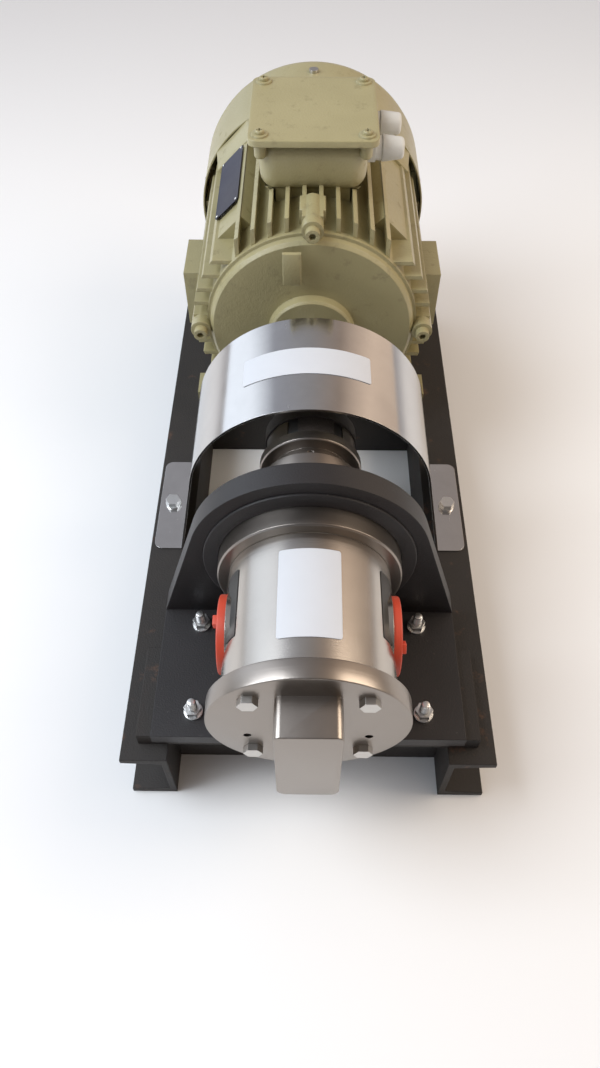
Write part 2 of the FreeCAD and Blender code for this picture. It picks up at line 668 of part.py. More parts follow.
def make_pump_shaft(label, height, back, keyed):
    front = "cover_back - front_bush_length + 1"
    shaft = turned(label, height, [
        (0, front), ("pump_shaft_radius - 1", front), ("pump_shaft_radius", f"{front} + 1"),
        ("pump_shaft_radius", f"{back} - 1"), ("pump_shaft_radius - 1", back), (0, back),
    ])
    if keyed:
        shaft = cut(shaft, block("key_width", "key_length", "key_width / 2 + 1", 0, "hub_front + 1",
                                 f"{height} + pump_shaft_radius - key_width / 2"))
    node(label, shaft)


def make_bushes():
    bushes = []
    for height in ("drive_axis", "driven_axis"):
        for station, length in (("cover_back - front_bush_length", "front_bush_length"),
                                ("rear_front", "rear_bush_length")):
            bushes.append(tube("bush_radius", "pump_shaft_radius + running_clearance", length, 0, station, height))
    node("shaft_bushes", group(*bushes))


def make_seal_housing():
    ring_front = "housing_back - housing_ring"
    shell = turned("seal_housing", "drive_axis", [
        ("pump_shaft_radius + 1", "rear_back"), ("housing_flange_radius", "rear_back"),
        ("housing_flange_radius", "rear_back + housing_flange"), ("housing_neck", "rear_back + housing_flange"),
        ("housing_neck", ring_front), ("housing_radius", ring_front), ("housing_radius", "housing_back - 1"),
        ("housing_radius - 1", "housing_back"), ("seal_radius + seat_clearance", "housing_back"),
        ("seal_radius + seat_clearance", "housing_back - seal_length - 1"),
        ("pump_shaft_radius + 1", "housing_back - seal_length - 1"),
    ])
    holes, screws = [], []
    for x, z, _ in around(3, "housing_flange_radius - 5.5", "drive_axis", 90):
        holes.append(rod("set_screw_radius + thread_clearance", "housing_flange + 2", x, "rear_back - 1", z))
        head = rod(4.5, 5, x, "rear_back + housing_flange", z)
        socket = hexagon(4, 3, x, "rear_back + housing_flange + 2", z, "y")
        screws.append(cut(fuse(head, rod("set_screw_radius", "housing_flange + 10", x, "rear_back - 10", z)), socket))
    node("seal_housing", cut(shell, *holes))
    node("housing_screws", group(*screws))
    node("shaft_seal", turned("shaft_seal", "drive_axis", [
        ("seal_radius", "housing_back - seal_length - 1"), ("seal_radius", "housing_back - 1"),
        ("pump_shaft_radius + 4", "housing_back - 1"), ("pump_shaft_radius + 3", "housing_back - seal_length + 3"),
        ("pump_shaft_radius + running_clearance", "housing_back - seal_length + 2"),
        ("pump_shaft_radius + running_clearance", "housing_back - seal_length - 1"),
    ]))


def make_port_cap(label, side):
    """A pull-off cap over a port boss, with a small nub to pull it by."""
    skirt, outside = "port_boss_radius + cap_clearance", "port_boss_radius + cap_clearance + cap_wall"
    inner, face, outer = "cap_inner", "port_face + 0.1", "cap_outer"
    body = doc.addObject("PartDesign::Body", label + "_body")
    sketch = outline_sketch(body, "XY_Plane", [
        (f"{side} * ({face})", 0), (f"{side} * ({face})", skirt), (f"{side} * ({inner})", skirt),
        (f"{side} * ({inner})", outside), (f"{side} * ({outer} - 1.5)", outside),
        (f"{side} * ({outer})", f"{outside} - 1.5"), (f"{side} * ({outer})", 5.5), (f"{side} * ({outer} + 4)", 4.5),
        (f"{side} * ({outer} + 4)", 0),
    ])
    turning = body.newObject("PartDesign::Revolution", label + "_turning")
    turning.Profile = sketch
    turning.ReferenceAxis = (sketch, ["H_Axis"])
    turning.Angle = 360
    node(label, seat(body, 0, "port_station", "pump_axis"))


def make_pump():
    make_front_cover()
    make_gasket("front_gasket", "cover_back")
    make_pump_body()
    make_gasket("rear_gasket", "body_back")
    make_rear_cover()
    node("cover_bolts", hex_bolts("cover_face - head_height", "cover_thick + gasket_thick + bolt_bite", "cover_face"))
    node("bracket_bolts", hex_bolts("bracket_back", "bracket_thick + rear_thick + gasket_thick + bolt_bite",
                                    "body_back - bolt_bite"))
    make_gear("drive_gear", "drive_axis", math.radians(90))
    make_gear("driven_gear", "driven_axis", math.radians(90) + math.pi / value("gear_teeth"))
    make_pump_shaft("drive_shaft", "drive_axis", "element_front - 1", True)
    make_pump_shaft("driven_shaft", "driven_axis", "rear_front + rear_bush_length - 1", False)
    make_bushes()
    make_seal_housing()
    make_port_cap("suction_cap", -1)
    make_port_cap("discharge_cap", 1)


# Coupling

JAW_SWEEP = 46


def jaws(station, start):
    return [wedge_of_ring("jaw_outer", "jaw_inner", "jaw_length", station, "drive_axis", start + 120 * turn, JAW_SWEEP)
            for turn in range(3)]


def make_pump_half():
    blank = turned("pump_half", "drive_axis", [
        (0, "hub_front"), ("hub_neck_radius - 1", "hub_front"), ("hub_neck_radius", "hub_front + 1"),
        ("hub_neck_radius", "disc_front"), ("hub_disc_radius - 1", "disc_front"),
        ("hub_disc_radius", "disc_front + 1"), ("hub_disc_radius", "element_front - 1"),
        ("hub_disc_radius - 1", "element_front"), (0, "element_front"),
    ])
    bore = rod("pump_shaft_radius + seat_clearance", "hub_length + 2", 0, "hub_front - 1", "drive_axis")
    keyway = block("key_width + 0.1", "hub_length + 2", "key_width / 2 + 1", 0, "hub_front - 1",
                   "drive_axis + pump_shaft_radius - 1")
    screw = rod("set_screw_radius + thread_clearance", "hub_neck_radius", 0, "hub_front + hub_neck_length / 2",
                "drive_axis + pump_shaft_radius", "z")
    node("pump_coupling_half", cut(fuse(blank, *jaws("element_front", 0)), bore, keyway, screw))
    node("pump_key", block("key_width", "key_length", "key_width", 0, "hub_front + 1",
                           "drive_axis + pump_shaft_radius - key_width / 2"))


def make_element():
    """The rubber star: a ring with six lobes that fill the spaces between the jaws."""
    ring = tube("jaw_inner - jaw_play", 10, "element_length - 0.4", 0, "element_front + 0.2", "drive_axis")
    gap = 60 - JAW_SWEEP
    lobes = [wedge_of_ring("jaw_outer - 1", "jaw_inner - 2", "element_length - 0.4", "element_front + 0.2",
                           "drive_axis", JAW_SWEEP + 60 * turn + 0.3, gap - 0.6) for turn in range(6)]
    node("coupling_element", fuse(ring, *lobes))


def make_motor_half():
    disc_back = "motor_hub_front + motor_disc_length"
    blank = turned("motor_half", "drive_axis", [
        (0, "motor_hub_front"), ("jaw_outer + 1", "motor_hub_front"), ("jaw_outer + 1", disc_back),
        ("motor_hub_radius + 1", f"{disc_back} + 3"), ("motor_hub_radius", "motor_hub_back - 1"),
        ("motor_hub_radius - 1", "motor_hub_back"), (0, "motor_hub_back"),
    ])
    bore = rod("motor_shaft_radius + seat_clearance", "motor_hub_length + 2", 0, "motor_hub_front - 1", "drive_axis")
    keyway = block("motor_key_width + 0.1", "shaft_grip + 2", 4, 0, "shaft_front",
                   "drive_axis + motor_shaft_radius - 1")
    screw = rod("set_screw_radius + thread_clearance", "motor_hub_radius", 0, "motor_hub_back - 25",
                "drive_axis + motor_shaft_radius", "z")
    fingers = jaws("motor_hub_front - jaw_length", 60)
    node("motor_coupling_half", cut(fuse(blank, *fingers), bore, keyway, screw))
    node("motor_key", block("motor_key_width", "motor_key_length", 8, 0, "shaft_front + 4",
                            "drive_axis + motor_shaft_radius - 5"))


def make_set_screws():
    screws = []
    for station, top, foot in (("hub_front + hub_neck_length / 2", "hub_neck_radius - 1",
                                "pump_shaft_radius + key_width / 2"),
                               ("motor_hub_back - 25", "motor_hub_radius - 1", "motor_shaft_radius + 3")):
        length = f"({top}) - ({foot}) - 0.2"
        screw = rod("set_screw_radius", length, 0, station, f"drive_axis + {foot} + 0.1", "z")
        socket = hexagon(3, 3, 0, station, f"drive_axis + {top} - 2.5", "z")
        screws.append(cut(screw, socket))
    node("hub_set_screws", group(*screws))


def guard_profile(radius, foot, thickness_side):
    """Where a straight side from the rail touches the guard's arch, as the contact point on the right."""
    rise, floor = value("guard_rise"), value("rail_height") + thickness_side
    drop = floor - rise
    reach = math.hypot(foot, drop)
    lean = math.acos(radius / reach) + math.atan2(drop, foot)
    return V(radius * math.cos(lean), 0, rise + radius * math.sin(lean))


def make_guard():
    """Sheet bent into an arch over the coupling, with feet turned out onto the rails."""
    sheet, half, tab = value("guard_sheet"), value("guard_foot") / 2, value("guard_tab")
    radius, rise, floor = value("guard_radius"), value("guard_rise"), value("rail_height")
    outside, inside = guard_profile(radius, half, sheet), guard_profile(radius - sheet, half - sheet, 0)
    right = [V(half - sheet, 0, floor), V(half + tab, 0, floor), V(half + tab, 0, floor + sheet),
             V(half, 0, floor + sheet), outside]
    left = [V(-point.x, 0, point.z) for point in reversed(right)]
    edges = [Part.LineSegment(a, b).toShape() for a, b in zip(right, right[1:])]
    edges.append(Part.Arc(outside, V(0, 0, rise + radius), left[0]).toShape())
    edges += [Part.LineSegment(a, b).toShape() for a, b in zip(left, left[1:])]
    inside_left = V(-inside.x, 0, inside.z)
    edges.append(Part.LineSegment(left[-1], inside_left).toShape())
    edges.append(Part.Arc(inside_left, V(0, 0, rise + radius - sheet), inside).toShape())
    edges.append(Part.LineSegment(inside, right[0]).toShape())
    solid = Part.Face(Part.Wire(edges)).extrude(V(0, value("guard_length"), 0))
    corners = [edge for edge in solid.Edges
               if abs(edge.Length - sheet) < 1e-6 and abs(abs(edge.CenterOfMass.x) - half - tab) < 1e-6]
    solid = solid.makeFillet(value("guard_tab_corner"), corners)
    bent = doc.addObject("Part::Feature", "guard_sheet")
    bent.Shape = solid
    seat(bent, 0, "guard_front", 0)
    middle, bolt_x = "(guard_front + guard_back) / 2", "(guard_foot + guard_tab) / 2"
    holes = [rod("bolt_radius + thread_clearance", 10, f"{side} * {bolt_x}", middle, "rail_height - 2", "z")
             for side in (-1, 1)]
    node("coupling_guard", cut(bent, *holes))
    top = "rail_height + guard_sheet"
    bolts, washers = [], []
    for side in (-1, 1):
        x = f"{side} * {bolt_x}"
        head = hexagon("nut_across", "head_height", x, middle, f"{top} + washer_thick")
        bolts.append(fuse(head, rod("bolt_radius", "18", x, middle, f"{top} + washer_thick - 18", "z")))
        washers.append(tube("washer_radius", "bolt_radius + 0.2", "washer_thick", x, middle, top, "z"))
    node("guard_bolts", group(*bolts))
    node("guard_washers", group(*washers))


def make_coupling():
    make_pump_half()
    make_element()
    make_motor_half()
    make_set_screws()
    make_guard()


# Motor

def lugs(radius, length, station):
    return [rod(radius, length, x, station, z) for x, z, _ in around(4, "lug_circle", "drive_axis")]


def make_fins():
    """Upright fins above and below, level fins at the sides, trimmed round by the fin radius."""
    fins = []
    length, gap = value("frame_length"), value("fin_pitch")
    thick, outer = value("fin_thick"), value("fin_radius")
    for step in range(5):
        for side in (-1, 1):
            offset = side * (step + 0.5) * gap
            for sign in (-1, 1):
                low = min(0, sign * outer)
                fins.append(Part.makeBox(thick, length, outer, V(offset - thick / 2, 0, low)))
                fins.append(Part.makeBox(outer, length, thick, V(low, 0, offset - thick / 2)))
    ring = Part.makeCylinder(outer, length, V(0, 0, 0), V(0, 1, 0))
    core = Part.makeCylinder(value("frame_radius") - 1, length, V(0, 0, 0), V(0, 1, 0))
    ring = ring.cut(core)
    pieces = [fin.common(ring) for fin in fins]
    item = doc.addObject("Part::Feature", "fins")
    item.Shape = Part.makeCompound([solid for piece in pieces for solid in piece.Solids])
    return seat(item, 0, "frame_front", "drive_axis")


def shoulder_pads():
    """Flat pads at forty-five degrees on the two upper shoulders of the frame."""
    pads = []
    width, length = value("plate_pad_width"), value("frame_length") - 70
    low, high = value("frame_radius") - 4, value("fin_radius") - 3
    for side in (-1, 1):
        pad = Part.makeBox(width, length, high - low, V(-width / 2, 35, low))
        pad.rotate(V(0, 0, 0), V(0, 1, 0), side * 45)
        pads.append(pad)
    item = doc.addObject("Part::Feature", "shoulder_pads")
    item.Shape = Part.makeCompound(pads)
    return seat(item, 0, "frame_front", "drive_axis")


def motor_foot(side, hole_station):
    """One cast foot: a flat toe on the rail's level and a web up to the frame."""
    half, inner = "motor_foot_width / 2", "frame_radius * 0.62"
    corners = [
        (f"{side} * {half}", "rail_height"), (f"{side} * {half}", "rail_height + motor_foot_thick"),
        (f"{side} * ({half} - 34)", "rail_height + motor_foot_thick"),
        (f"{side} * ({half} - 40)", "drive_axis - 40"), (f"{side} * {inner}", "drive_axis - 60"),
        (f"{side} * {inner}", "rail_height + 14"), (f"{side} * ({half} - 44)", "rail_height"),
    ]
    return padded("motor_foot", "XZ_Plane", corners, "motor_foot_length", 0,
                  f"{hole_station} - motor_foot_length / 2", 0)


def make_motor_frame():
    shell = rod("frame_radius", "frame_length", 0, "frame_front", "drive_axis")
    side_pads = block("2 * side_pad_reach", "side_pad_length", "side_pad_height", 0,
                      "frame_front + side_pad_setback", "drive_axis - side_pad_drop")
    neck = block("neck_width", "box_depth - 30", "box_bottom - drive_axis - frame_radius + 12", 0, "box_front + 15",
                 "drive_axis + frame_radius - 12")
    feet = [motor_foot(side, station) for side in (-1, 1) for station in ("foot_hole_front", "foot_hole_back")]
    solid = fuse(shell, make_fins(), shoulder_pads(), side_pads, neck, *lugs("lug_radius", "lug_length", "frame_front"),
                 *feet)
    bore = rod("frame_bore", "frame_length + 2", 0, "frame_front - 1", "drive_axis")
    way_up = rod(22, 60, 0, "box_middle", "drive_axis + frame_bore - 12", "z")
    holes = lugs("bolt_radius + thread_clearance", 20, "frame_front - 1")
    holes += [rod("motor_bolt_radius + thread_clearance", 40, x, y, "rail_height - 5", "z")
              for x, y in four_corners("foot_hole_across", "foot_hole_front", "foot_hole_along")]
    holes += [rod("set_screw_radius + thread_clearance", 14, x, "frame_back - 13", z)
              for x, z, _ in around(4, "(frame_radius + frame_bore) / 2", "drive_axis", 45)]
    node("motor_frame", cut(solid, bore, way_up, *holes))


def make_drive_end_shield():
    spigot = "frame_bore - 0.1"
    shell = turned("drive_shield", "drive_axis", [
        ("journal_radius + 0.5", "shoulder"), ("shield_boss_radius - 2", "shoulder"),
        ("shield_boss_radius", "shoulder + 2"), ("shield_boss_radius + 1", "shield_face"),
        ("shield_radius - 3", "shield_face"), ("shield_radius", "shield_face + 3"),
        ("shield_radius + 1", "frame_front - 4"), ("frame_radius", "frame_front - 4"), ("frame_radius", "frame_front"),
        (spigot, "frame_front"), (spigot, "frame_front + 6"), ("frame_bore - 7", "frame_front + 6"),
        ("frame_bore - 7", "shield_face + shield_plate"), ("bearing_radius + 8", "shield_face + shield_plate"),
        ("bearing_radius + 8", "front_bearing + bearing_width"),
        ("bearing_radius + seat_clearance", "front_bearing + bearing_width"),
        ("bearing_radius + seat_clearance", "front_bearing"), ("journal_radius + 0.5", "front_bearing"),
    ])
    ears = lugs("lug_radius", "shield_rim", "shield_face")
    solid = fuse(shell, *[cut(ear, rod("shield_radius - 4", "shield_rim", 0, "shield_face", "drive_axis"))
                          for ear in ears])
    node("drive_end_shield", cut(solid, *lugs("bolt_radius + thread_clearance", 40, "shield_face - 5")))
    bolts = []
    for x, z, _ in around(4, "lug_circle", "drive_axis"):
        head = rod("socket_head", 8, x, "shield_face - 8", z)
        shank = rod("bolt_radius", "shield_rim + 16", x, "shield_face", z)
        bolts.append(cut(fuse(head, shank), hexagon(6, 5, x, "shield_face - 8", z, "y")))
    node("drive_end_bolts", group(*bolts))


def cowl_arms():
    """Four arms of the rear end shield that reach back to carry the cowl."""
    arms = []
    for x, z, angle in around(4, "cowl_radius - cowl_sheet - 11.6", "drive_axis"):
        upright = angle in (90, 270)
        width, height = (18, 20) if upright else (20, 18)
        arms.append(block(width, "cowl_back - cowl_screw_inset - frame_back + 10", height, x, "frame_back",
                          f"({z}) - {height} / 2"))
    return common(fuse(*arms), rod("cowl_radius - cowl_sheet - 0.1", "cowl_length", 0, "frame_back", "drive_axis"))


def make_rear_end_shield():
    spigot, back = "frame_bore - 0.1", "frame_back + rear_rim"
    shell = turned("rear_shield", "drive_axis", [
        ("journal_radius + 0.5", "rear_bearing + bearing_width + 4"), ("bearing_radius + 6", back),
        ("shield_radius + 3", back), ("frame_radius", "frame_back + 2"), ("frame_radius", "frame_back"),
        (spigot, "frame_back"), (spigot, "frame_back - 6"), ("frame_bore - 7", "frame_back - 6"),
        ("frame_bore - 7", "frame_back + 4"), ("bearing_radius + 8", "frame_back + 4"),
        ("bearing_radius + 8", "rear_bearing"), ("bearing_radius + seat_clearance", "rear_bearing"),
        ("bearing_radius + seat_clearance", "rear_bearing + bearing_width"),
        ("journal_radius + 0.5", "rear_bearing + bearing_width"),
    ])
    bolt_places = list(around(4, "(frame_radius + frame_bore) / 2", "drive_axis", 45))
    holes = [rod("set_screw_radius + thread_clearance", 40, x, "frame_back - 5", z) for x, z, _ in bolt_places]
    screw_holes = [hole for hole in cowl_screw_rods("set_screw_radius - 0.5 + thread_clearance", 10, 10)]
    node("rear_end_shield", cut(fuse(shell, cowl_arms()), *holes, *screw_holes))
    bolts = [fuse(rod(5, 6, x, back, z), rod("set_screw_radius", "rear_rim + 12", x, "frame_back - 12", z))
             for x, z, _ in bolt_places]
    node("rear_end_bolts", group(*bolts))


def cowl_screw_rods(radius, inward, outward):
    """Rods on the radial lines of the four cowl screws, from inside the cowl's sheet to outside it."""
    station, length = "cowl_back - cowl_screw_inset", f"({inward}) + ({outward})"
    low, high = f"cowl_radius - ({inward})", f"0 - cowl_radius - ({outward})"
    return [rod(radius, length, 0, station, f"drive_axis + {low}", "z"),
            rod(radius, length, 0, station, f"drive_axis + {high}", "z"),
            rod(radius, length, low, station, "drive_axis", "x"),
            rod(radius, length, high, station, "drive_axis", "x")]


GRILLE_RINGS = 4
GRILLE_SLOTS = 6


def make_cowl():
    corner = [(f"cowl_radius - cowl_round * {1 - math.sin(turn):.4f}", f"cowl_back - cowl_round * {1 - math.cos(turn):.4f}")
              for turn in (math.radians(angle) for angle in (90, 67.5, 45, 22.5, 0))]
    inner = [(f"cowl_radius - cowl_sheet - (cowl_round - cowl_sheet) * {1 - math.sin(turn):.4f}",
              f"cowl_back - cowl_sheet - (cowl_round - cowl_sheet) * {1 - math.cos(turn):.4f}")
             for turn in (math.radians(angle) for angle in (0, 22.5, 45, 67.5, 90))]
    shell = turned("cowl", "drive_axis", [("cowl_radius", "cowl_front"), *corner, (0, "cowl_back"),
                                          (0, "cowl_back - cowl_sheet"), *inner,
                                          ("cowl_radius - cowl_sheet", "cowl_front")])
    slots = []
    for ring in range(GRILLE_RINGS):
        inside = f"26 + {ring} * 18"
        for slot in range(GRILLE_SLOTS):
            slots.append(wedge_of_ring(f"{inside} + 11", inside, "cowl_sheet + 2", "cowl_back - cowl_sheet - 1",
                                       "drive_axis", slot * 360 / GRILLE_SLOTS + 4, 360 / GRILLE_SLOTS - 8))
    node("fan_cowl", cut(shell, group(*slots), *cowl_screw_rods("set_screw_radius - 0.5 + thread_clearance", 5, 5)))
    shanks = cowl_screw_rods("set_screw_radius - 0.5", 9, 1)
    heads = cowl_screw_rods(5, 0, 3)
    node("cowl_screws", group(*[fuse(shank, head) for shank, head in zip(shanks, heads)]))


def make_motor_shaft():
    node("motor_shaft", cut(turned("motor_shaft", "drive_axis", [
        (0, "shaft_front"), ("motor_shaft_radius - 1", "shaft_front"), ("motor_shaft_radius", "shaft_front + 1"),
        ("motor_shaft_radius", "shoulder"), ("journal_radius", "shoulder"),
        ("journal_radius", "front_bearing + bearing_width"), ("rotor_seat", "front_bearing + bearing_width"),
        ("rotor_seat", "rear_bearing"), ("journal_radius", "rear_bearing"),
        ("journal_radius", "rear_bearing + bearing_width + 1"), ("fan_seat", "rear_bearing + bearing_width + 1"),
        ("fan_seat", "fan_back"), (0, "fan_back"),
    ]), block("motor_key_width", "motor_key_length", 6, 0, "shaft_front + 4", "drive_axis + motor_shaft_radius - 5")))


def make_bearings():
    """Sealed ball bearings: an outer ring with its shields, and an inner ring that turns in it."""
    pitch = "(bearing_radius + journal_radius) / 2"
    outers = [tube("bearing_radius", f"{pitch} - 4", "bearing_width", 0, station, "drive_axis")
              for station in ("front_bearing", "rear_bearing")]
    inners = [tube(f"{pitch} - 4 - running_clearance", "journal_radius + seat_clearance", "bearing_width", 0, station,
                   "drive_axis") for station in ("front_bearing", "rear_bearing")]
    node("bearing_outer_rings", group(*outers))
    node("bearing_inner_rings", group(*inners))


def make_windings_and_cores():
    node("stator_core", tube("frame_bore - seat_clearance", "rotor_radius + air_gap", "core_length", 0, "core_front",
                             "drive_axis"))
    node("stator_windings", group(*[tube("winding_outer", "winding_inner", "winding_reach", 0, station, "drive_axis")
                                    for station in ("core_front - winding_reach", "core_back")]))
    node("rotor_core", tube("rotor_radius", "rotor_seat + seat_clearance", "core_length", 0, "core_front",
                            "drive_axis"))


def make_fan():
    hub = rod("fan_hub", "fan_width", 0, "fan_front", "drive_axis")
    disc = rod("fan_radius", 3, 0, "fan_front", "drive_axis")
    blades = []
    for index in range(8):
        blade = doc.addObject("Part::Box", "blade")
        bind(blade, Length="fan_radius - fan_hub + 2", Width="fan_width", Height="fan_blade")
        angle = 360 * index / 8
        turn = FreeCAD.Rotation(V(0, 1, 0), -angle)
        blades.append(seat(blade, f"(fan_hub - 2) * cos({angle}) + fan_blade / 2 * sin({angle})", "fan_front",
                           f"drive_axis + (fan_hub - 2) * sin({angle}) - fan_blade / 2 * cos({angle})", turn))
    bore = rod("fan_seat + seat_clearance", "fan_width + 2", 0, "fan_front - 1", "drive_axis")
    node("cooling_fan", cut(fuse(hub, disc, *blades), bore))


def make_motor():
    make_motor_frame()
    make_drive_end_shield()
    make_rear_end_shield()
    make_cowl()
    make_motor_shaft()
    make_bearings()
    make_windings_and_cores()
    make_fan()
    bolts, nuts = [], []
    for x, y in four_corners("foot_hole_across", "foot_hole_front", "foot_hole_along"):
        top = "rail_height + motor_foot_thick"
        head = hexagon(17, 6.5, x, y, top)
        bolts.append(fuse(head, rod("motor_bolt_radius", "motor_foot_thick + 20", x, y, "rail_height - 20", "z")))
        nut_base = "rail_height - flange_toe - 8"
        nuts.append(cut(hexagon(17, 8, x, y, nut_base),
                        rod("motor_bolt_radius + thread_clearance", 8, x, y, nut_base, "z")))
    node("motor_foot_bolts", group(*bolts))
    node("motor_foot_nuts", group(*nuts))


# Terminal box

def tapered_box(shrink, low, high):
    """A box that narrows downwards, its four slanting corners rounded."""
    box = doc.addObject("Part::Wedge", "tapered")
    inside = f"({shrink})"
    bind(box, Xmin=f"0 - box_width / 2 + box_taper + {inside}", Xmax=f"box_width / 2 - box_taper - {inside}",
         Zmin=f"0 - box_depth / 2 + box_taper + {inside}", Zmax=f"box_depth / 2 - box_taper - {inside}",
         X2min=f"0 - box_width / 2 + {inside}", X2max=f"box_width / 2 - {inside}",
         Z2min=f"0 - box_depth / 2 + {inside}", Z2max=f"box_depth / 2 - {inside}",
         Ymin="0", Ymax=f"({high}) - ({low})")
    seat(box, 0, "box_middle", low, FreeCAD.Rotation(V(1, 0, 0), 90))
    doc.recompute([box])
    rounded = doc.addObject("Part::Fillet", "rounded")
    rounded.Base = box
    slanting = [index for index, edge in enumerate(box.Shape.Edges, start=1)
                if abs(edge.Vertexes[0].Z - edge.Vertexes[1].Z) > 1]
    radius = max(2.0, 9 - value(shrink))
    rounded.Edges = [(index, radius, radius) for index in slanting]
    return rounded


def lid_corners():
    return list(four_corners("box_width - 2 * lid_screw_inset", "box_front + lid_screw_inset",
                             "box_depth - 2 * lid_screw_inset"))


def make_terminal_box():
    outside, inside = tapered_box(0, "box_bottom", "box_top"), tapered_box("box_wall", "box_bottom + box_wall", "box_top")
    posts = [rod("lid_boss_radius - 0.5", "box_height - box_wall - 8", x, y, "box_bottom + box_wall + 8", "z")
             for x, y in lid_corners()]
    posts = common(outside_copy(outside), fuse(*posts))
    wire_way = rod(20, 20, 0, "box_middle", "box_bottom - 5", "z")
    screw_holes = [rod("set_screw_radius - 0.5 + thread_clearance", 14, x, y, "box_top - 14", "z")
                   for x, y in lid_corners()]
    gland_holes = [rod("gland_radius - 2", 20, "box_width / 2 - 12", y, "lid_bottom - gland_drop", "x")
                   for y in gland_stations()]
    node("terminal_box", cut(fuse(cut(outside, inside), posts), wire_way, *screw_holes, *gland_holes))


def outside_copy(item):
    """A second reference to a shape that is already used in another cut."""
    copy = doc.addObject("Part::Compound", "reference")
    copy.Links = [item]
    return copy


def gland_stations():
    return ["box_middle - gland_pitch / 2", "box_middle + gland_pitch / 2"]


def rounded_plate(margin, thick, low):
    plate = block(f"box_width + 2 * ({margin})", f"box_depth + 2 * ({margin})", thick, 0, f"box_front - ({margin})", low)
    doc.recompute([plate])
    rounded = doc.addObject("Part::Fillet", "rounded")
    rounded.Base = plate
    rounded.Edges = [(index, 9, 9) for index, edge in enumerate(plate.Shape.Edges, start=1)
                     if abs(edge.Vertexes[0].Z - edge.Vertexes[1].Z) > 0.5]
    return rounded


def make_lid():
    inside = block("box_width - 2 * lid_screw_inset - 16", "box_depth - 12", "lid_gasket", 0, "box_front + 6", "box_top")
    across = block("box_width - 12", "box_depth - 2 * lid_screw_inset - 16", "lid_gasket", 0,
                   "box_front + lid_screw_inset + 8", "box_top")
    gasket_holes = [rod("set_screw_radius", "lid_gasket", x, y, "box_top", "z") for x, y in lid_corners()]
    node("terminal_gasket", cut(rounded_plate(0, "lid_gasket", "box_top"), inside, across, *gasket_holes))
    bosses = [rod("lid_boss_radius", "lid_thick + 1.5", x, y, "lid_bottom", "z") for x, y in lid_corners()]
    holes = [rod("set_screw_radius - 0.5 + thread_clearance", 20, x, y, "lid_bottom - 5", "z")
             for x, y in lid_corners()]
    node("terminal_lid", cut(fuse(rounded_plate(1, "lid_thick", "lid_bottom"), *bosses), *holes))
    screws = []
    for x, y in lid_corners():
        seat_level = "lid_top + 1.5"
        head = rod(4.2, 3, x, y, seat_level, "z")
        shank = rod("set_screw_radius - 0.5", "lid_thick + 1.5 + lid_gasket + 12", x, y, "box_top - 12", "z")
        screws.append(cut(fuse(head, shank), block(1.2, 10, 2, x, f"({y}) - 5", f"{seat_level} + 1.6")))
    node("lid_screws", group(*screws))


def make_terminal_block():
    base = block(60, 36, 14, 0, "box_middle - 18", "box_bottom + box_wall")
    studs = [rod(2.5, 12, f"{column} * 18", f"box_middle + {row} * 10", "box_bottom + box_wall + 12", "z")
             for column in (-1, 0, 1) for row in (-1, 1)]
    node("terminal_block", fuse(base, *studs))


def make_glands():
    glands = []
    height = "lid_bottom - gland_drop"
    wall = "box_width / 2 - box_taper / 2"
    for station in gland_stations():
        spigot = rod("gland_radius - 2.05", "box_wall + 8", f"{wall} - box_wall - 4", station, height, "x")
        flange = hexagon("2 * gland_radius", "6", "box_width / 2 + 0.3", station, height, "x")
        body = rod("gland_radius - 1.5", "10", "box_width / 2 + 6", station, height, "x")
        dome = doc.addObject("Part::Cone", "dome")
        bind(dome, Radius1="gland_radius - 1", Radius2="gland_radius - 3", Height="gland_stand - 13")
        seat(dome, "box_width / 2 + 13", station, height, ALONG["x"])
        bore = rod("gland_bore", "box_width", "0", station, height, "x")
        glands.append(cut(fuse(spigot, flange, body, dome), bore))
    node("cable_glands", group(*glands))


make_skid()
make_bracket()
make_pump()
make_coupling()
make_motor()
make_terminal_box()
make_lid()
make_terminal_block()
make_glands()
doc.recompute()

for item in doc.Objects:
    if "Invalid" in item.State or "Error" in item.State:
        raise RuntimeError(f"{item.Name} ({item.Label}) could not be built: {item.State}")
for item in nodes:
    if item.Shape.isNull() or not item.Shape.isValid():
        raise RuntimeError(f"{item.Label} has no valid shape")

os.makedirs("parts", exist_ok=True)
for item in nodes:
    item.Shape.exportStep(f"parts/{item.Label}.step")
print(len(nodes), "nodes")
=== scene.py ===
import json
import math

import bpy
from mathutils import Matrix, Vector


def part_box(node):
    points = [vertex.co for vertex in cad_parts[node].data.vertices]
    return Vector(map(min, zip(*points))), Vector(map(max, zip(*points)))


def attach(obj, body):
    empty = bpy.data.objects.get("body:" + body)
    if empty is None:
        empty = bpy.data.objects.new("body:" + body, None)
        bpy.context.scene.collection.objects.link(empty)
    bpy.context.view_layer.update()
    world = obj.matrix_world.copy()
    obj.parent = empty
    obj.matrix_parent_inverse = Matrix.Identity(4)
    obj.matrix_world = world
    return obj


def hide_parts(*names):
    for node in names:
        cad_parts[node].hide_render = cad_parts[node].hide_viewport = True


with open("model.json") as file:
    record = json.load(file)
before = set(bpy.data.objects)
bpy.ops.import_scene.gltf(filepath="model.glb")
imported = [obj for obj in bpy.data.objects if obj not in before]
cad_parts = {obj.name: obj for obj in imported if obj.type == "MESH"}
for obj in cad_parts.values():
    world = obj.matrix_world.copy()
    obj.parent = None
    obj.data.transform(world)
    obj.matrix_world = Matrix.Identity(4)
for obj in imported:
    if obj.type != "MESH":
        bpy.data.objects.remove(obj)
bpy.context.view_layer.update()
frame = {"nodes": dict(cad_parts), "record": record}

bl_info = {
    "name": "Gear pump set",
    "version": (1, 1, 0),
    "blender": (4, 5, 0),
    "location": "3D View > Sidebar > Gear pump",
    "description": "Finishes and details of a motor-driven gear pump on a skid",
    "category": "Object",
}

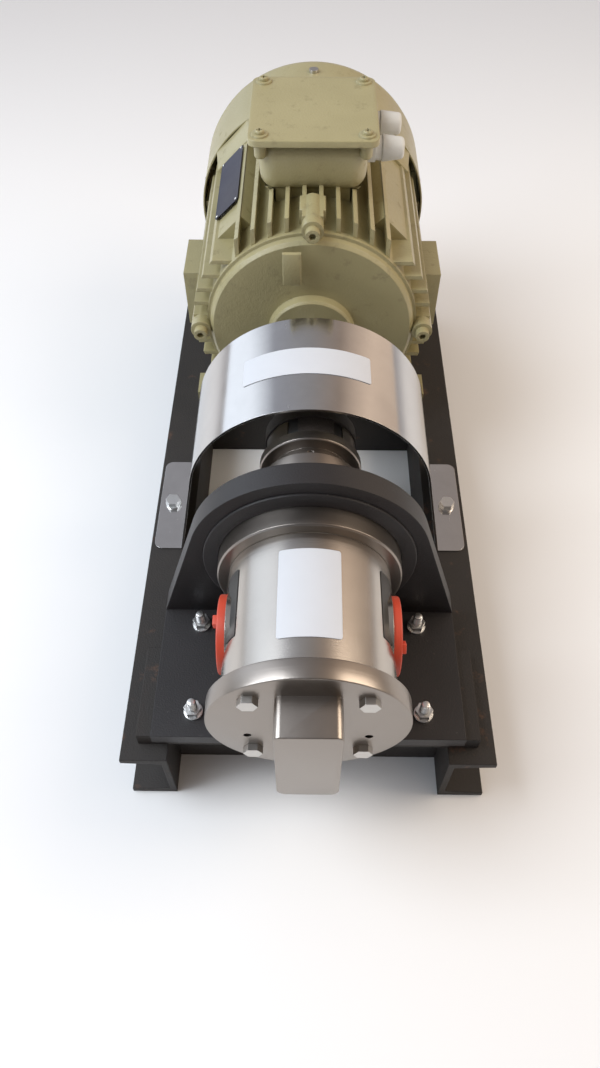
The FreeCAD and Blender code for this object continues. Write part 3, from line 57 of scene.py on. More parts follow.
NODES = frame["nodes"]
MADE = {}                # finishes by name, once they are made
X, Y, Z = range(3)


def middle(node, axis):
    """The middle of a CAD node along an axis."""
    low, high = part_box(node)
    return (low[axis] + high[axis]) / 2


PUMP_AXIS = middle("front_cover", Z)     # height of the pump's middle line
MOTOR_AXIS = middle("motor_shaft", Z)    # height of the motor's shaft
BOX_MIDDLE = middle("terminal_lid", Y)
PORT_STATION = -0.268    # where the ports are along the pump
LID_FOOT = 0.3653        # heights of the terminal box's lid and of the bosses on it
BOSS_TOP = 0.3728


class Value:
    """A shader socket that can be used in Python sums."""

    def __init__(self, nodes, socket):
        self.nodes, self.socket = nodes, socket

    def __add__(self, other):
        return self.nodes.maths("ADD", self, other)

    __radd__ = __add__

    def __mul__(self, other):
        return self.nodes.maths("MULTIPLY", self, other)

    __rmul__ = __mul__

    def __pow__(self, other):
        return self.nodes.maths("POWER", self, other)

    def __rpow__(self, other):
        return self.nodes.maths("POWER", other, self)

    def above(self, edge, soft):
        """0 below the edge and 1 above it, with a soft step between."""
        return self.nodes.node("ShaderNodeMapRange", {"interpolation_type": "SMOOTHSTEP"},
                               {"Value": self, "From Min": edge - soft, "From Max": edge + soft})


class Nodes:
    """A node tree whose nodes are made by one method."""

    def __init__(self, tree):
        self.tree = tree

    def node(self, kind, settings=None, inputs=None, output=0):
        """A new node with its settings, which may be a ramp's stops, and its inputs."""
        made = self.tree.nodes.new(kind)
        for name, setting in (settings or {}).items():
            if name == "stops":
                ramp = made.color_ramp
                while len(ramp.elements) < len(setting):
                    ramp.elements.new(0.5)
                for element, (place, colour) in zip(ramp.elements, setting):
                    element.position, element.color = place, (*colour, 1)
            else:
                setattr(made, name, setting)
        for name, value in (inputs or {}).items():
            self.put(made.inputs[name], value)
        return Value(self, made.outputs[output])

    def put(self, socket, value):
        """Links a value to a socket, or sets the socket to a number, vector or colour."""
        if isinstance(value, Value):
            self.tree.links.new(value.socket, socket)
        elif isinstance(value, tuple) and len(value) == 3 and socket.type == "RGBA":
            socket.default_value = (*value, 1)
        else:
            socket.default_value = value

    def maths(self, operation, first, second):
        return self.node("ShaderNodeMath", {"operation": operation}, {0: first, 1: second})

    def parts(self, vector):
        """The three numbers of a vector."""
        split = self.tree.nodes.new("ShaderNodeSeparateXYZ")
        self.put(split.inputs[0], vector)
        return [Value(self, output) for output in split.outputs]


COLOUR_A, COLOUR_B, MIXED_COLOUR = 6, 7, 2      # the Mix node's sockets for colours
SOFT_EDGE = 0.0006       # how far most pieces' sharp edges are rounded in their shading


class Finish(Nodes):
    """The nodes of a material."""

    def __init__(self, name):
        self.material = bpy.data.materials.new(name)
        self.material.use_nodes = True
        super().__init__(self.material.node_tree)
        self.shader = self.tree.nodes["Principled BSDF"]

    def place(self, stretch=(1, 1, 1), origin=(0, 0, 0)):
        """Object coordinates in metres, measured from the origin and stretched."""
        coords = self.node("ShaderNodeTexCoord", output="Object")
        moved = self.node("ShaderNodeVectorMath", {"operation": "SUBTRACT"}, {0: coords, 1: origin})
        return self.node("ShaderNodeVectorMath", {"operation": "MULTIPLY"}, {0: moved, 1: stretch})

    def noise(self, vector, scale, detail, rough=0.55):
        return self.node("ShaderNodeTexNoise", inputs={
            "Vector": vector, "Scale": scale, "Detail": detail, "Roughness": rough})

    def mix(self, factor, first, second):
        """A mix of two colours, by a factor that may vary."""
        return self.node("ShaderNodeMix", {"data_type": "RGBA"},
                         {"Factor": factor, COLOUR_A: first, COLOUR_B: second}, MIXED_COLOUR)

    def relief(self, height, depth, edge=SOFT_EDGE):
        """The surface's normal with its sharp edges rounded and a bump of this depth."""
        rounded = self.node("ShaderNodeBevel", {"samples": 4}, {"Radius": edge})
        return self.node("ShaderNodeBump", inputs={
            "Height": height, "Distance": depth, "Strength": 1.0, "Normal": rounded})

    def set(self, **values):
        """Sets the shader's sockets by name, and gives the finished material."""
        for name, value in values.items():
            self.put(self.shader.inputs[name.replace("_", " ")], value)
        return self.material


def shaded(colour, share):
    """A share of a colour."""
    return tuple(part * share for part in colour)


def motor_paint():
    """Glossy khaki enamel over castings, with a little dirt in random patches."""
    finish = Finish("motor_paint")
    dark, light, soiled = (0.325, 0.284, 0.145), (0.41, 0.363, 0.195), (0.18, 0.15, 0.08)
    spots = finish.noise(finish.place(), scale=22, detail=4)
    grain = finish.noise(finish.place(), scale=420, detail=3)
    dirt = finish.noise(finish.place(origin=(2, 5, 1)), scale=60, detail=6, rough=0.7)
    dirt = dirt.above(0.62, soft=0.06)
    tint = finish.mix(dirt * 0.35, finish.mix(spots, dark, light), soiled)
    return finish.set(
        Base_Color=tint, Roughness=0.32 + grain * 0.14 + dirt * 0.15,
        Normal=finish.relief(grain, depth=0.00035, edge=0.0012),
        Coat_Weight=0.25, Coat_Roughness=0.22)


def skid_paint():
    """Matt black paint, dusty and rusting through at places."""
    finish = Finish("skid_paint")
    dark, dusty, rusty = (0.009, 0.0075, 0.007), (0.038, 0.031, 0.026), (0.13, 0.062, 0.034)
    dust = finish.noise(finish.place(), scale=16, detail=6, rough=0.65)
    rust = finish.noise(finish.place(origin=(3, 1, 2)), scale=31, detail=7, rough=0.7)
    rust = rust.above(0.64, soft=0.05)
    grain = finish.noise(finish.place(), scale=650, detail=3)
    tint = finish.mix(rust * 0.5, finish.mix(dust, dark, dusty), rusty)
    return finish.set(Base_Color=tint, Roughness=0.55 + dust * 0.25,
                      Normal=finish.relief(grain, depth=0.0004, edge=0.0016))


def bracket_paint():
    """Satin black paint, worn to grey in small chips."""
    finish = Finish("bracket_paint")
    dark, dusty, worn = (0.009, 0.0078, 0.0085), (0.022, 0.019, 0.0195), (0.16, 0.15, 0.14)
    dust = finish.noise(finish.place(), scale=12, detail=5)
    chips = finish.noise(finish.place(origin=(1, 4, 2)), scale=190, detail=5, rough=0.7)
    chips = chips.above(0.71, soft=0.02)
    grain = finish.noise(finish.place(), scale=700, detail=2)
    tint = finish.mix(chips * 0.5, finish.mix(dust, dark, dusty), worn)
    return finish.set(Base_Color=tint, Roughness=0.38 + dust * 0.2,
                      Normal=finish.relief(grain, depth=0.0002, edge=0.0012))


def guard_sheet():
    """Bright rolled sheet with fine lines along the roll, finger marks and scuffs."""
    finish = Finish("guard_sheet")
    dull, bright = (0.54, 0.53, 0.525), (0.68, 0.67, 0.66)
    lines = finish.noise(finish.place(stretch=(2, 500, 2)), scale=1.0, detail=2)
    marks = finish.noise(finish.place(), scale=34, detail=6, rough=0.65)
    scuffs = finish.noise(finish.place(stretch=(40, 6, 40), origin=(3, 2, 1)),
                          scale=6, detail=6, rough=0.75)
    scuffs = scuffs.above(0.68, soft=0.03)
    return finish.set(
        Base_Color=finish.mix(marks, dull, bright), Metallic=1.0,
        Roughness=0.07 + marks * 0.13 + scuffs * 0.22,
        Normal=finish.relief(lines, depth=0.00002, edge=0.0005))


def shade_darkened_faced_steel():
    """Stainless steel faced in a lathe: fine rings about the pump's middle line. Its base colour is
    darker and browner than the body's stainless: painted shade and painted reflection of a dim
    surround on a cover that faces away from the lamps.
    """
    finish = Finish("machined_stainless")
    # painted shade and painted reflection: this stainless colour is darker and browner than the
    # turned body's, standing in for the front cover's shade
    colour = (0.34, 0.305, 0.275)
    across, along, up = finish.parts(finish.place(origin=(0, 0, PUMP_AXIS)))
    radius = (across * across + up * up) ** 0.5
    rings = finish.node("ShaderNodeCombineXYZ", inputs={"X": radius * 1500, "Y": along * 900})
    rings = finish.noise(rings, scale=1.0, detail=2)
    haze = finish.noise(finish.place(), scale=24, detail=5, rough=0.6)
    return finish.set(Base_Color=finish.mix(haze, shaded(colour, 0.84), colour), Metallic=1.0,
                      Roughness=0.24 + haze * 0.14, Normal=finish.relief(rings, depth=0.00005))


def metal(name, colour, rough, lines, scale, depth, smudge=0.12):
    """Metal with tool lines: lines is how far their noise is stretched along X, Y and Z."""
    finish = Finish(name)
    stroke = finish.noise(finish.place(lines), scale, detail=2)
    haze = finish.noise(finish.place(), scale=28, detail=5, rough=0.6)
    return finish.set(
        Base_Color=finish.mix(haze, shaded(colour, 0.86), colour), Metallic=1.0,
        Roughness=rough + haze * smudge + stroke * 0.05, Normal=finish.relief(stroke, depth))


def plain(name, colour, rough, depth=0.0001, shade=0.75):
    """A moulded or cast surface with a fine grain and a little unevenness."""
    finish = Finish(name)
    haze = finish.noise(finish.place(), scale=40, detail=4)
    grain = finish.noise(finish.place(), scale=900, detail=2)
    return finish.set(Base_Color=finish.mix(haze, shaded(colour, shade), colour),
                      Roughness=rough + haze * 0.12, Normal=finish.relief(grain, depth))


EVEN = (60, 60, 60)      # stretch of a grain that runs no way in particular
TURNED = (8, 900, 8)     # stretch of fine lines round a line along Y
OWN_FINISHES = {
    "black_paint": skid_paint,
    "bracket_paint": bracket_paint,
    "motor_paint": motor_paint,
    "guard_sheet": guard_sheet,
    # the front cover's finish carries painted shade and painted reflection in its base colour
    "machined_stainless": shade_darkened_faced_steel,
}
METALS = {
    "zinc_plate": dict(colour=(0.78, 0.78, 0.77), rough=0.22, lines=EVEN, scale=9, depth=0.0002),
    "turned_stainless": dict(colour=(0.54, 0.505, 0.465), rough=0.16, lines=TURNED, scale=1.0,
                             depth=0.00004),
    "bolt_stainless": dict(colour=(0.62, 0.60, 0.57), rough=0.25, lines=EVEN, scale=6,
                           depth=0.0001),
    "tool_steel": dict(colour=(0.50, 0.49, 0.47), rough=0.3, lines=TURNED, scale=1.0,
                       depth=0.00004),
    "bronze": dict(colour=(0.72, 0.5, 0.26), rough=0.3, lines=TURNED, scale=1.0, depth=0.00004),
    "dark_screw": dict(colour=(0.2, 0.18, 0.16), rough=0.4, lines=(30, 30, 30), scale=6,
                       depth=0.0001),
    "laminations": dict(colour=(0.4, 0.4, 0.4), rough=0.45, lines=TURNED, scale=1.0, depth=0.0001),
    "dark_plate": dict(colour=(0.065, 0.066, 0.092), rough=0.3, lines=(4, 300, 4), scale=1.0,
                       depth=0.00002, smudge=0.2),
}
PLAINS = {
    "gasket": dict(colour=(0.17, 0.15, 0.12), rough=0.8),
    "rubber": dict(colour=(0.022, 0.021, 0.020), rough=0.6),
    "red_plastic": dict(colour=(0.64, 0.072, 0.033), rough=0.38),
    "black_iron": dict(colour=(0.045, 0.037, 0.033), rough=0.45, depth=0.0004),
    "copper": dict(colour=(0.55, 0.2, 0.07), rough=0.35, depth=0.0005),
    "black_plastic": dict(colour=(0.03, 0.03, 0.03), rough=0.5),
    "white_plastic": dict(colour=(0.68, 0.68, 0.65), rough=0.4, shade=0.92),
    "white_film": dict(colour=(0.64, 0.66, 0.70), rough=0.34, depth=0.00005, shade=0.93),
    "dark_film": dict(colour=(0.030, 0.028, 0.026), rough=0.4, depth=0.00005, shade=0.8),
}


def paint(piece, finish):
    """Gives a piece this finish alone."""
    piece.data.materials.clear()
    piece.data.materials.append(MADE[finish])


def finish_nodes():
    """Makes the finishes, and gives every CAD node the one of its slot."""
    MADE.update({name: make() for name, make in OWN_FINISHES.items()})
    MADE.update({name: metal(name, **settings) for name, settings in METALS.items()})
    MADE.update({name: plain(name, **settings) for name, settings in PLAINS.items()})
    for row in frame["record"]["subparts"]:
        paint(NODES[row["node"]], row["material_slot"])


def pick(*pieces):
    """Selects these objects alone, and makes the first one active."""
    bpy.ops.object.select_all(action="DESELECT")
    for piece in pieces:
        piece.select_set(True)
    bpy.context.view_layer.objects.active = pieces[0]


def add(kind, **settings):
    """A new primitive, alone in the selection."""
    bpy.ops.object.select_all(action="DESELECT")
    getattr(bpy.ops.mesh, f"primitive_{kind}_add")(**settings)
    return bpy.context.object


def apply_place(piece):
    """Puts an object's place, turn and scale into its mesh."""
    pick(piece)
    bpy.ops.object.transform_apply(location=True, rotation=True, scale=True)


def modify(piece, kind, **settings):
    """Adds a modifier and applies it."""
    pick(piece)
    modifier = piece.modifiers.new(kind.lower(), kind)
    for name, setting in settings.items():
        setattr(modifier, name, setting)
    bpy.ops.object.modifier_apply(modifier=modifier.name)


def edit(piece, wanted_edges=None, wanted_vertices=None):
    """Goes into edit mode with the wanted edges or vertices selected."""
    mesh = piece.data
    for parts in (mesh.vertices, mesh.edges, mesh.polygons):
        parts.foreach_set("select", [False] * len(parts))
    for edge in mesh.edges:
        ends = [mesh.vertices[index] for index in edge.vertices]
        if wanted_edges and wanted_edges(ends[0].co, ends[1].co):
            edge.select = ends[0].select = ends[1].select = True
    for vertex in mesh.vertices:
        if wanted_vertices and wanted_vertices(vertex.co):
            vertex.select = True
    pick(piece)
    bpy.ops.object.mode_set(mode="EDIT")
    bpy.ops.mesh.select_mode(type="EDGE" if wanted_edges else "VERT")


def edit_faces(piece, wanted_vertices):
    """Goes into edit mode with the faces between the wanted vertices selected."""
    edit(piece, wanted_vertices=wanted_vertices)
    bpy.ops.mesh.select_mode(type="FACE")


def leave_edit():
    bpy.ops.object.mode_set(mode="OBJECT")


NEAR = 0.0002            # places no further apart than this count as the same


def lies_at(axis, place):
    """Picks the edges that lie in a plane across the axis."""
    return lambda a, b: abs(a[axis] - place) < NEAR and abs(b[axis] - place) < NEAR


def lies_across(axis):
    """Picks the edges that lie in any plane across the axis."""
    return lambda a, b: abs(a[axis] - b[axis]) < NEAR


def runs_along(axis):
    """Picks the edges that lie in no plane across the axis."""
    return lambda a, b: abs(a[axis] - b[axis]) > NEAR


def round_off(piece, wanted, radius, segments):
    """Rounds the wanted edges."""
    edit(piece, wanted_edges=wanted)
    bpy.ops.mesh.bevel(offset=radius, segments=segments, affect="EDGES")
    leave_edit()


def cuboid(size, centre=(0, 0, 0)):
    """A box of this size round a centre."""
    piece = add("cube", size=1, location=centre)
    piece.scale = size
    apply_place(piece)
    return piece


def block(low, high):
    """A box between two corners."""
    return cuboid([b - a for a, b in zip(low, high)], [(a + b) / 2 for a, b in zip(low, high)])


def rod(radius, start, end, vertices):
    """A cylinder between two points."""
    start, end = Vector(start), Vector(end)
    piece = add("cylinder", vertices=vertices, radius=radius, depth=(end - start).length,
                location=(start + end) / 2)
    piece.rotation_euler = (end - start).to_track_quat("Z", "Y").to_euler()
    apply_place(piece)
    return piece


def combine(piece, operation, *others):
    """Unites the piece with the others, or cuts them out of it."""
    for other in others:
        modify(piece, "BOOLEAN", operation=operation, solver="EXACT", object=other)
        bpy.data.objects.remove(other)
    return piece


def join(*pieces):
    """Puts the pieces' meshes into the first one."""
    pick(*pieces)
    bpy.ops.object.join()
    return bpy.context.object


def repeat(piece, places):
    """One object with a copy of the piece at each place, each copy with its own mesh."""
    copies = []
    for place in places:
        copy = bpy.data.objects.new(piece.name, piece.data.copy())
        bpy.context.collection.objects.link(copy)
        copy.location = place
        copies.append(copy)
    bpy.data.objects.remove(piece)
    joined = join(*copies)
    apply_place(joined)
    return joined


SMOOTH_ANGLE = math.radians(35)


def settle(piece, name, finish, body="skid"):
    """Names a finished piece, puts its place into its mesh and lets it ride on its body."""
    apply_place(piece)
    bpy.ops.object.shade_smooth_by_angle(angle=SMOOTH_ANGLE)
    piece.name = piece.data.name = name
    paint(piece, finish)
    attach(piece, body)


FILM_CELL = 0.005        # side of a film's faces before it is wrapped
FILM_THICK = 0.0003
FILM_GAP = 0.0002        # between a film and its carrier


def film(name, size, centre, tilt, carrier, finish, corner=0.0022):
    """A thin film with round corners that lies on a curved carrier."""
    counts = [max(2, round(side / FILM_CELL)) for side in size]
    half_width, half_length = size[0] / 2, size[1] / 2
    sheet = add("grid", x_subdivisions=counts[0], y_subdivisions=counts[1], size=1)
    sheet.scale = (*size, 1)
    apply_place(sheet)
    edit(sheet, wanted_vertices=lambda at: (abs(at.x) > half_width - NEAR
                                            and abs(at.y) > half_length - NEAR))
    bpy.ops.mesh.bevel(offset=corner, segments=4, affect="VERTICES")
    leave_edit()
    sheet.rotation_euler = (0, tilt, 0)
    sheet.location = centre
    apply_place(sheet)
    modify(sheet, "SHRINKWRAP", wrap_method="NEAREST_SURFACEPOINT", wrap_mode="ABOVE_SURFACE",
           target=carrier, offset=FILM_GAP)
    modify(sheet, "SOLIDIFY", thickness=FILM_THICK, offset=1)
    settle(sheet, name, finish)


class GearPumpDetails(bpy.types.PropertyGroup):
    """Sizes of the details that the CAD model leaves plain."""
    guard_film: bpy.props.FloatVectorProperty(
        name="Guard film", description="Width round the arch and length",
        size=2, default=(0.126, 0.032), unit="LENGTH")
    body_film: bpy.props.FloatVectorProperty(
        name="Body film", description="Width round the body and length",
        size=2, default=(0.049, 0.074), unit="LENGTH")
    side_film: bpy.props.FloatVectorProperty(
        name="Side films", description="Width round the body and length",
        size=2, default=(0.018, 0.058), unit="LENGTH")
    plate: bpy.props.FloatVectorProperty(
        name="Rating plate", description="Width, length and thickness of the bare plate",
        size=3, default=(0.033, 0.100, 0.0008), unit="LENGTH")
    rivet: bpy.props.FloatProperty(
        name="Rivets", description="Radius of the plate's rivets",
        default=0.0014, unit="LENGTH")
    thread_pitch: bpy.props.FloatProperty(
        name="Thread pitch", description="Pitch of the foot studs",
        default=0.00125, unit="LENGTH")
    slot_width: bpy.props.FloatProperty(
        name="Screw recess", description="Width of the lid screws' cross recess",
        default=0.0011, unit="LENGTH")
    port_face: bpy.props.FloatProperty(
        name="Port face", description="Milled port faces from the pump's middle",
        default=0.0625, unit="LENGTH")
    cap_head: bpy.props.FloatProperty(
        name="Cap head", description="Thickness of the port caps' heads",
        default=0.0065, unit="LENGTH")
    ramp_top: bpy.props.FloatProperty(
        name="Ramp", description="Height of the shoulder ramps at the cowl, from the axis",
        default=0.1225, unit="LENGTH")
    box_round: bpy.props.FloatProperty(
        name="Box rounding", description="Rounding of the terminal box's lower edge",
        default=0.009, unit="LENGTH")


def lid_corners():
    """Places of the lid's screws."""
    return [(x, BOX_MIDDLE + y) for x in (-0.0475, 0.0475) for y in (-0.0495, 0.0495)]


def corner_posts(radius, low, high, vertices, rounded_end, rounding, segments):
    """A post at each of the lid's corners, with one end rounded."""
    posts = []
    for x, y in lid_corners():
        post = rod(radius, (x, y, low), (x, y, high), vertices)
        round_off(post, lies_at(Z, rounded_end), rounding, segments)
        posts.append(post)
    return posts


def box_layer(half_width, half_depth, low, high):
    """A block round the terminal box's middle."""
    return block((-half_width, BOX_MIDDLE - half_depth, low),
                 (half_width, BOX_MIDDLE + half_depth, high))


class GEARPUMP_OT_terminal_box(bpy.types.Operator):
    """Makes the tapered terminal box with its corner columns, gasket and lid"""
    bl_idname = "gearpump.terminal_box"
    bl_label = "Terminal box"

    def execute(self, context):
        foot, rim = 0.3153, 0.3638
        half_width, half_depth, gasket_proud = 0.051, 0.053, 0.0012

        box = box_layer(half_width, half_depth, foot, rim)
        edit(box, wanted_vertices=lambda at: at.z < foot + NEAR)
        bpy.ops.transform.resize(value=(0.961, 0.962, 1))
        leave_edit()
        round_off(box, runs_along(Z), 0.016, 6)
        foot_band = 0.001    # the taper lets the corners' arcs leave the foot's plane a little
        round_off(box, lambda a, b: max(a.z, b.z) < foot + foot_band,
                  context.scene.gearpump_details.box_round, 5)
        column_foot = rim - 0.013
        combine(box, "UNION", *corner_posts(
            0.0056, column_foot, rim, 32, rounded_end=column_foot, rounding=0.0025, segments=3))
        settle(box, "box_casting", "motor_paint")
        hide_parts("terminal_box")

        gasket = box_layer(half_width + gasket_proud, half_depth + gasket_proud, rim, LID_FOOT)
        round_off(gasket, runs_along(Z), 0.012, 5)
        settle(gasket, "box_gasket", "rubber")
        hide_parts("terminal_gasket")

        lid_top = LID_FOOT + 0.006
        lid = box_layer(0.0585, 0.0605, LID_FOOT, lid_top)
        round_off(lid, runs_along(Z), 0.009, 6)
        round_off(lid, lies_at(Z, lid_top), 0.0009, 3)
        combine(lid, "UNION", *corner_posts(
            0.0075, LID_FOOT + 0.001, BOSS_TOP, 40, rounded_end=BOSS_TOP, rounding=0.0006,
            segments=2))
        settle(lid, "box_lid", "motor_paint")
        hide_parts("terminal_lid")
        return {"FINISHED"}


class GEARPUMP_OT_glands(bpy.types.Operator):
    """Makes the two white cable glands with their hexagons and domed caps"""
    bl_idname = "gearpump.glands"
    bl_label = "Cable glands"

    def execute(self, context):
        half_pitch = 0.0225
        glands = join(*[self.gland(BOX_MIDDLE + shift) for shift in (-half_pitch, half_pitch)])
        settle(glands, "gland_pair", "white_plastic")
        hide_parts("cable_glands")
        return {"FINISHED"}

    def gland(self, y):
        """A hexagon against the box's wall, a neck, and a cap with its bore."""
        height = LID_FOOT - 0.0196
        wall, hexagon_end = 0.0505, 0.057
        neck_start, neck_end = 0.0565, 0.064
        cap_middle, cap_length = 0.07335, 0.0203
        bore_start, bore_end = 0.066, 0.090

        def level(radius, start, end, vertices):
            return rod(radius, (start, y, height), (end, y, height), vertices)

        hexagon = level(0.0138, wall, hexagon_end, 6)
        round_off(hexagon, runs_along(X), 0.0006, 2)
        neck = level(0.0105, neck_start, neck_end, 40)
        cap = add("cone", vertices=40, radius1=0.0117, radius2=0.0092, depth=cap_length,
                  location=(cap_middle, y, height), rotation=(0, math.pi / 2, 0))
        apply_place(cap)
        round_off(cap, lies_at(X, cap_middle + cap_length / 2), 0.003, 4)
        round_off(cap, lies_at(X, cap_middle - cap_length / 2), 0.0008, 2)
        combine(hexagon, "UNION", neck, cap)
        return combine(hexagon, "DIFFERENCE", level(0.0052, bore_start, bore_end, 32))


class GEARPUMP_OT_lid_screws(bpy.types.Operator):
    """Makes the lid's painted pan-head screws with their cross recesses"""
    bl_idname = "gearpump.lid_screws"
    bl_label = "Lid screws"

    def execute(self, context):
        radius, height = 0.0042, 0.003
        slot_length, slot_height = radius * 1.25, 0.0028
        slot_width = context.scene.gearpump_details.slot_width
        head = add("cylinder", vertices=28, radius=radius, depth=height)
        round_off(head, lies_at(Z, height / 2), 0.0013, 4)
        for size in ((slot_length, slot_width), (slot_width, slot_length)):
            combine(head, "DIFFERENCE", cuboid((*size, slot_height), (0, 0, height / 2)))
        heads = repeat(head, [(x, y, BOSS_TOP + height / 2) for x, y in lid_corners()])
        settle(heads, "lid_screw_heads", "motor_paint")
        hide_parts("lid_screws")
        return {"FINISHED"}


class GEARPUMP_OT_studs(bpy.types.Operator):
    """Cuts threads on the bracket's four foot studs"""
    bl_idname = "gearpump.studs"
    bl_label = "Foot studs"

    def execute(self, context):
        low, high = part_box("foot_studs")
        crest, length = 0.0039, high.z - low.z
        core_radius = crest - 0.0005
        core = add("cylinder", vertices=28, radius=core_radius, depth=length)
        round_off(core, lies_across(Z), 0.0006, 2)
        stud = join(core, self.thread(core_radius, length,
                                      context.scene.gearpump_details.thread_pitch))
        height = middle("foot_studs", Z)
        studs = repeat(stud, [(x, y, height) for x in (low.x + crest, high.x - crest)
                              for y in (low.y + crest, high.y - crest)])
        settle(studs, "threaded_studs", "zinc_plate")
        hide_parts("foot_studs")
        return {"FINISHED"}

    def thread(self, radius, length, pitch):
        """A closed ridge that winds up the stud, a turn short at each end."""
        ridge, steps = 0.0006, 24
        thread = add("circle", vertices=3, radius=ridge, location=(radius, 0, pitch - length / 2),
                     rotation=(math.pi / 2, math.pi / 2, 0))
        apply_place(thread)
        modify(thread, "SCREW", axis="Z", angle=2 * math.pi, screw_offset=pitch,
               iterations=int(length / pitch) - 2, steps=steps, render_steps=steps)
        edit(thread)
        bpy.ops.mesh.select_mode(type="EDGE")
        bpy.ops.mesh.select_non_manifold()
        bpy.ops.mesh.fill_holes(sides=0)
        bpy.ops.mesh.select_all(action="SELECT")
        bpy.ops.mesh.normals_make_consistent(inside=False)
        leave_edit()
        return thread


class GEARPUMP_OT_casing(bpy.types.Operator):
    """Makes the pump casing with its milled port faces, ports and gear chambers"""
    bl_idname = "gearpump.casing"
    bl_label = "Pump casing"

    def execute(self, context):
        low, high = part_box("pump_body")
        face = context.scene.gearpump_details.port_face
        port_depth, passage_reach = 0.022, 0.046
        mill_reach, spare = 0.010, 0.001     # how far the cutters pass the surface

        def across(radius, start, end, vertices):
            return rod(radius, (start, PORT_STATION, PUMP_AXIS), (end, PORT_STATION, PUMP_AXIS),
                       vertices)

        casing = rod((high.z - low.z) / 2, (0, low.y, PUMP_AXIS), (0, high.y, PUMP_AXIS), 128)
        combine(casing, "UNION", across(0.033, -face, face, 96))
        cutters = [across(0.015, -passage_reach, passage_reach, 64)]
        for side in (-1, 1):
            cutters.append(across(0.0335, side * face, side * (face + mill_reach), 96))
            cutters.append(across(0.020, side * (face + spare), side * (face - port_depth), 64))
        for gear in ("drive_gear", "driven_gear"):
            height = middle(gear, Z)
            cutters.append(rod(0.028, (0, low.y - spare, height), (0, high.y + spare, height), 96))
        combine(casing, "DIFFERENCE", *cutters)
        settle(casing, "pump_casing", "turned_stainless")
        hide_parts("pump_body")
        return {"FINISHED"}


class GEARPUMP_OT_cover(bpy.types.Operator):
    """Makes the front cover with its rounded bearing boss and jack screw holes"""
    bl_idname = "gearpump.cover"
    bl_label = "Front cover"

    def execute(self, context):
        low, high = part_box("front_cover")
        face = low.y + 0.030
        cover = rod((high.z - low.z) / 2, (0, face, PUMP_AXIS), (0, high.y, PUMP_AXIS), 96)
        round_off(cover, lies_across(Y), 0.001, 3)
        combine(cover, "UNION", self.boss(low.y, face + 0.002))
        combine(cover, "DIFFERENCE", *self.holes(face, high.y))
        settle(cover, "cover_casting", "machined_stainless")
        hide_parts("front_cover")
        return {"FINISHED"}

    def boss(self, front, back):
        """The bearing boss, with wider rounding at its lower corners."""
        half_width, down, up = 0.0235, 0.060, 0.049
        boss = block((-half_width, front, PUMP_AXIS - down), (half_width, back, PUMP_AXIS + up))
        for side, corner in ((1, 0.005), (-1, 0.008)):
            round_off(boss, lambda a, b: (abs(a.y - b.y) > NEAR
                                          and side * (a.z - PUMP_AXIS) > 0), corner, 5)
        round_off(boss, lies_at(Y, front), 0.0009, 3)
        return boss

    def holes(self, face, back):
        """Cutters for the jack screw holes and for the pockets of the shafts' bushes."""
        jack_reach, jack_down, margin = 0.045, 0.019, 0.002
        holes = [rod(0.003, (x, face - margin, PUMP_AXIS - jack_down),
                     (x, back - margin, PUMP_AXIS - jack_down), 24)
                 for x in (-jack_reach, jack_reach)]
        pocket_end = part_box("shaft_bushes")[0].y - 0.0001
        for shaft in ("drive_shaft", "driven_shaft"):
            height = middle(shaft, Z)
            holes.append(rod(0.01505, (0, pocket_end, height), (0, back + 0.001, height), 64))
        return holes


class GEARPUMP_OT_castings(bpy.types.Operator):
    """Adds the bracket's register, the end shield's casting pad and the top lug's pedestal"""
    bl_idname = "gearpump.castings"
    bl_label = "Cast details"

    def execute(self, context):
        self.bracket_register()
        self.casting_pad()
        self.lug_pedestal()
        return {"FINISHED"}

    def bracket_register(self):
        """A raised ring round the pump's rear cover, cut off above the bracket's foot."""
        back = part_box("rear_cover")[1].y
        front, reach, foot_top = back - 0.002, 0.01, 0.1032
        ring = rod(0.088, (0, front, PUMP_AXIS), (0, back + 0.0005, PUMP_AXIS), 96)
        round_off(ring, lies_at(Y, front), 0.0009, 3)
        foot = block((-0.1, back - reach, 0), (0.1, back + reach, foot_top))
        hole = rod(0.0753, (0, back - reach, PUMP_AXIS), (0, back + reach, PUMP_AXIS), 96)
        combine(ring, "DIFFERENCE", hole, foot)
        settle(ring, "bracket_register", "bracket_paint")

    def casting_pad(self):
        """A flat pad on the drive end shield's face, above the shaft."""
        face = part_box("drive_end_shield")[0].y
        front = face - 0.0015
        pad = block((-0.027, front, MOTOR_AXIS + 0.062), (-0.010, face + 0.002, MOTOR_AXIS + 0.095))
        round_off(pad, lies_at(Y, front), 0.0006, 2)
        settle(pad, "casting_pad", "motor_paint")

    def lug_pedestal(self):
        """The raised block behind the frame's top lug."""
        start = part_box("motor_frame")[0].y + 0.010
        half_width, length, top = 0.012, 0.024, MOTOR_AXIS + 0.118
        pedestal = block((-half_width, start, MOTOR_AXIS + 0.098),
                         (half_width, start + length, top))
        round_off(pedestal, lies_at(Z, top), 0.0015, 3)
        settle(pedestal, "lug_pedestal", "motor_paint")


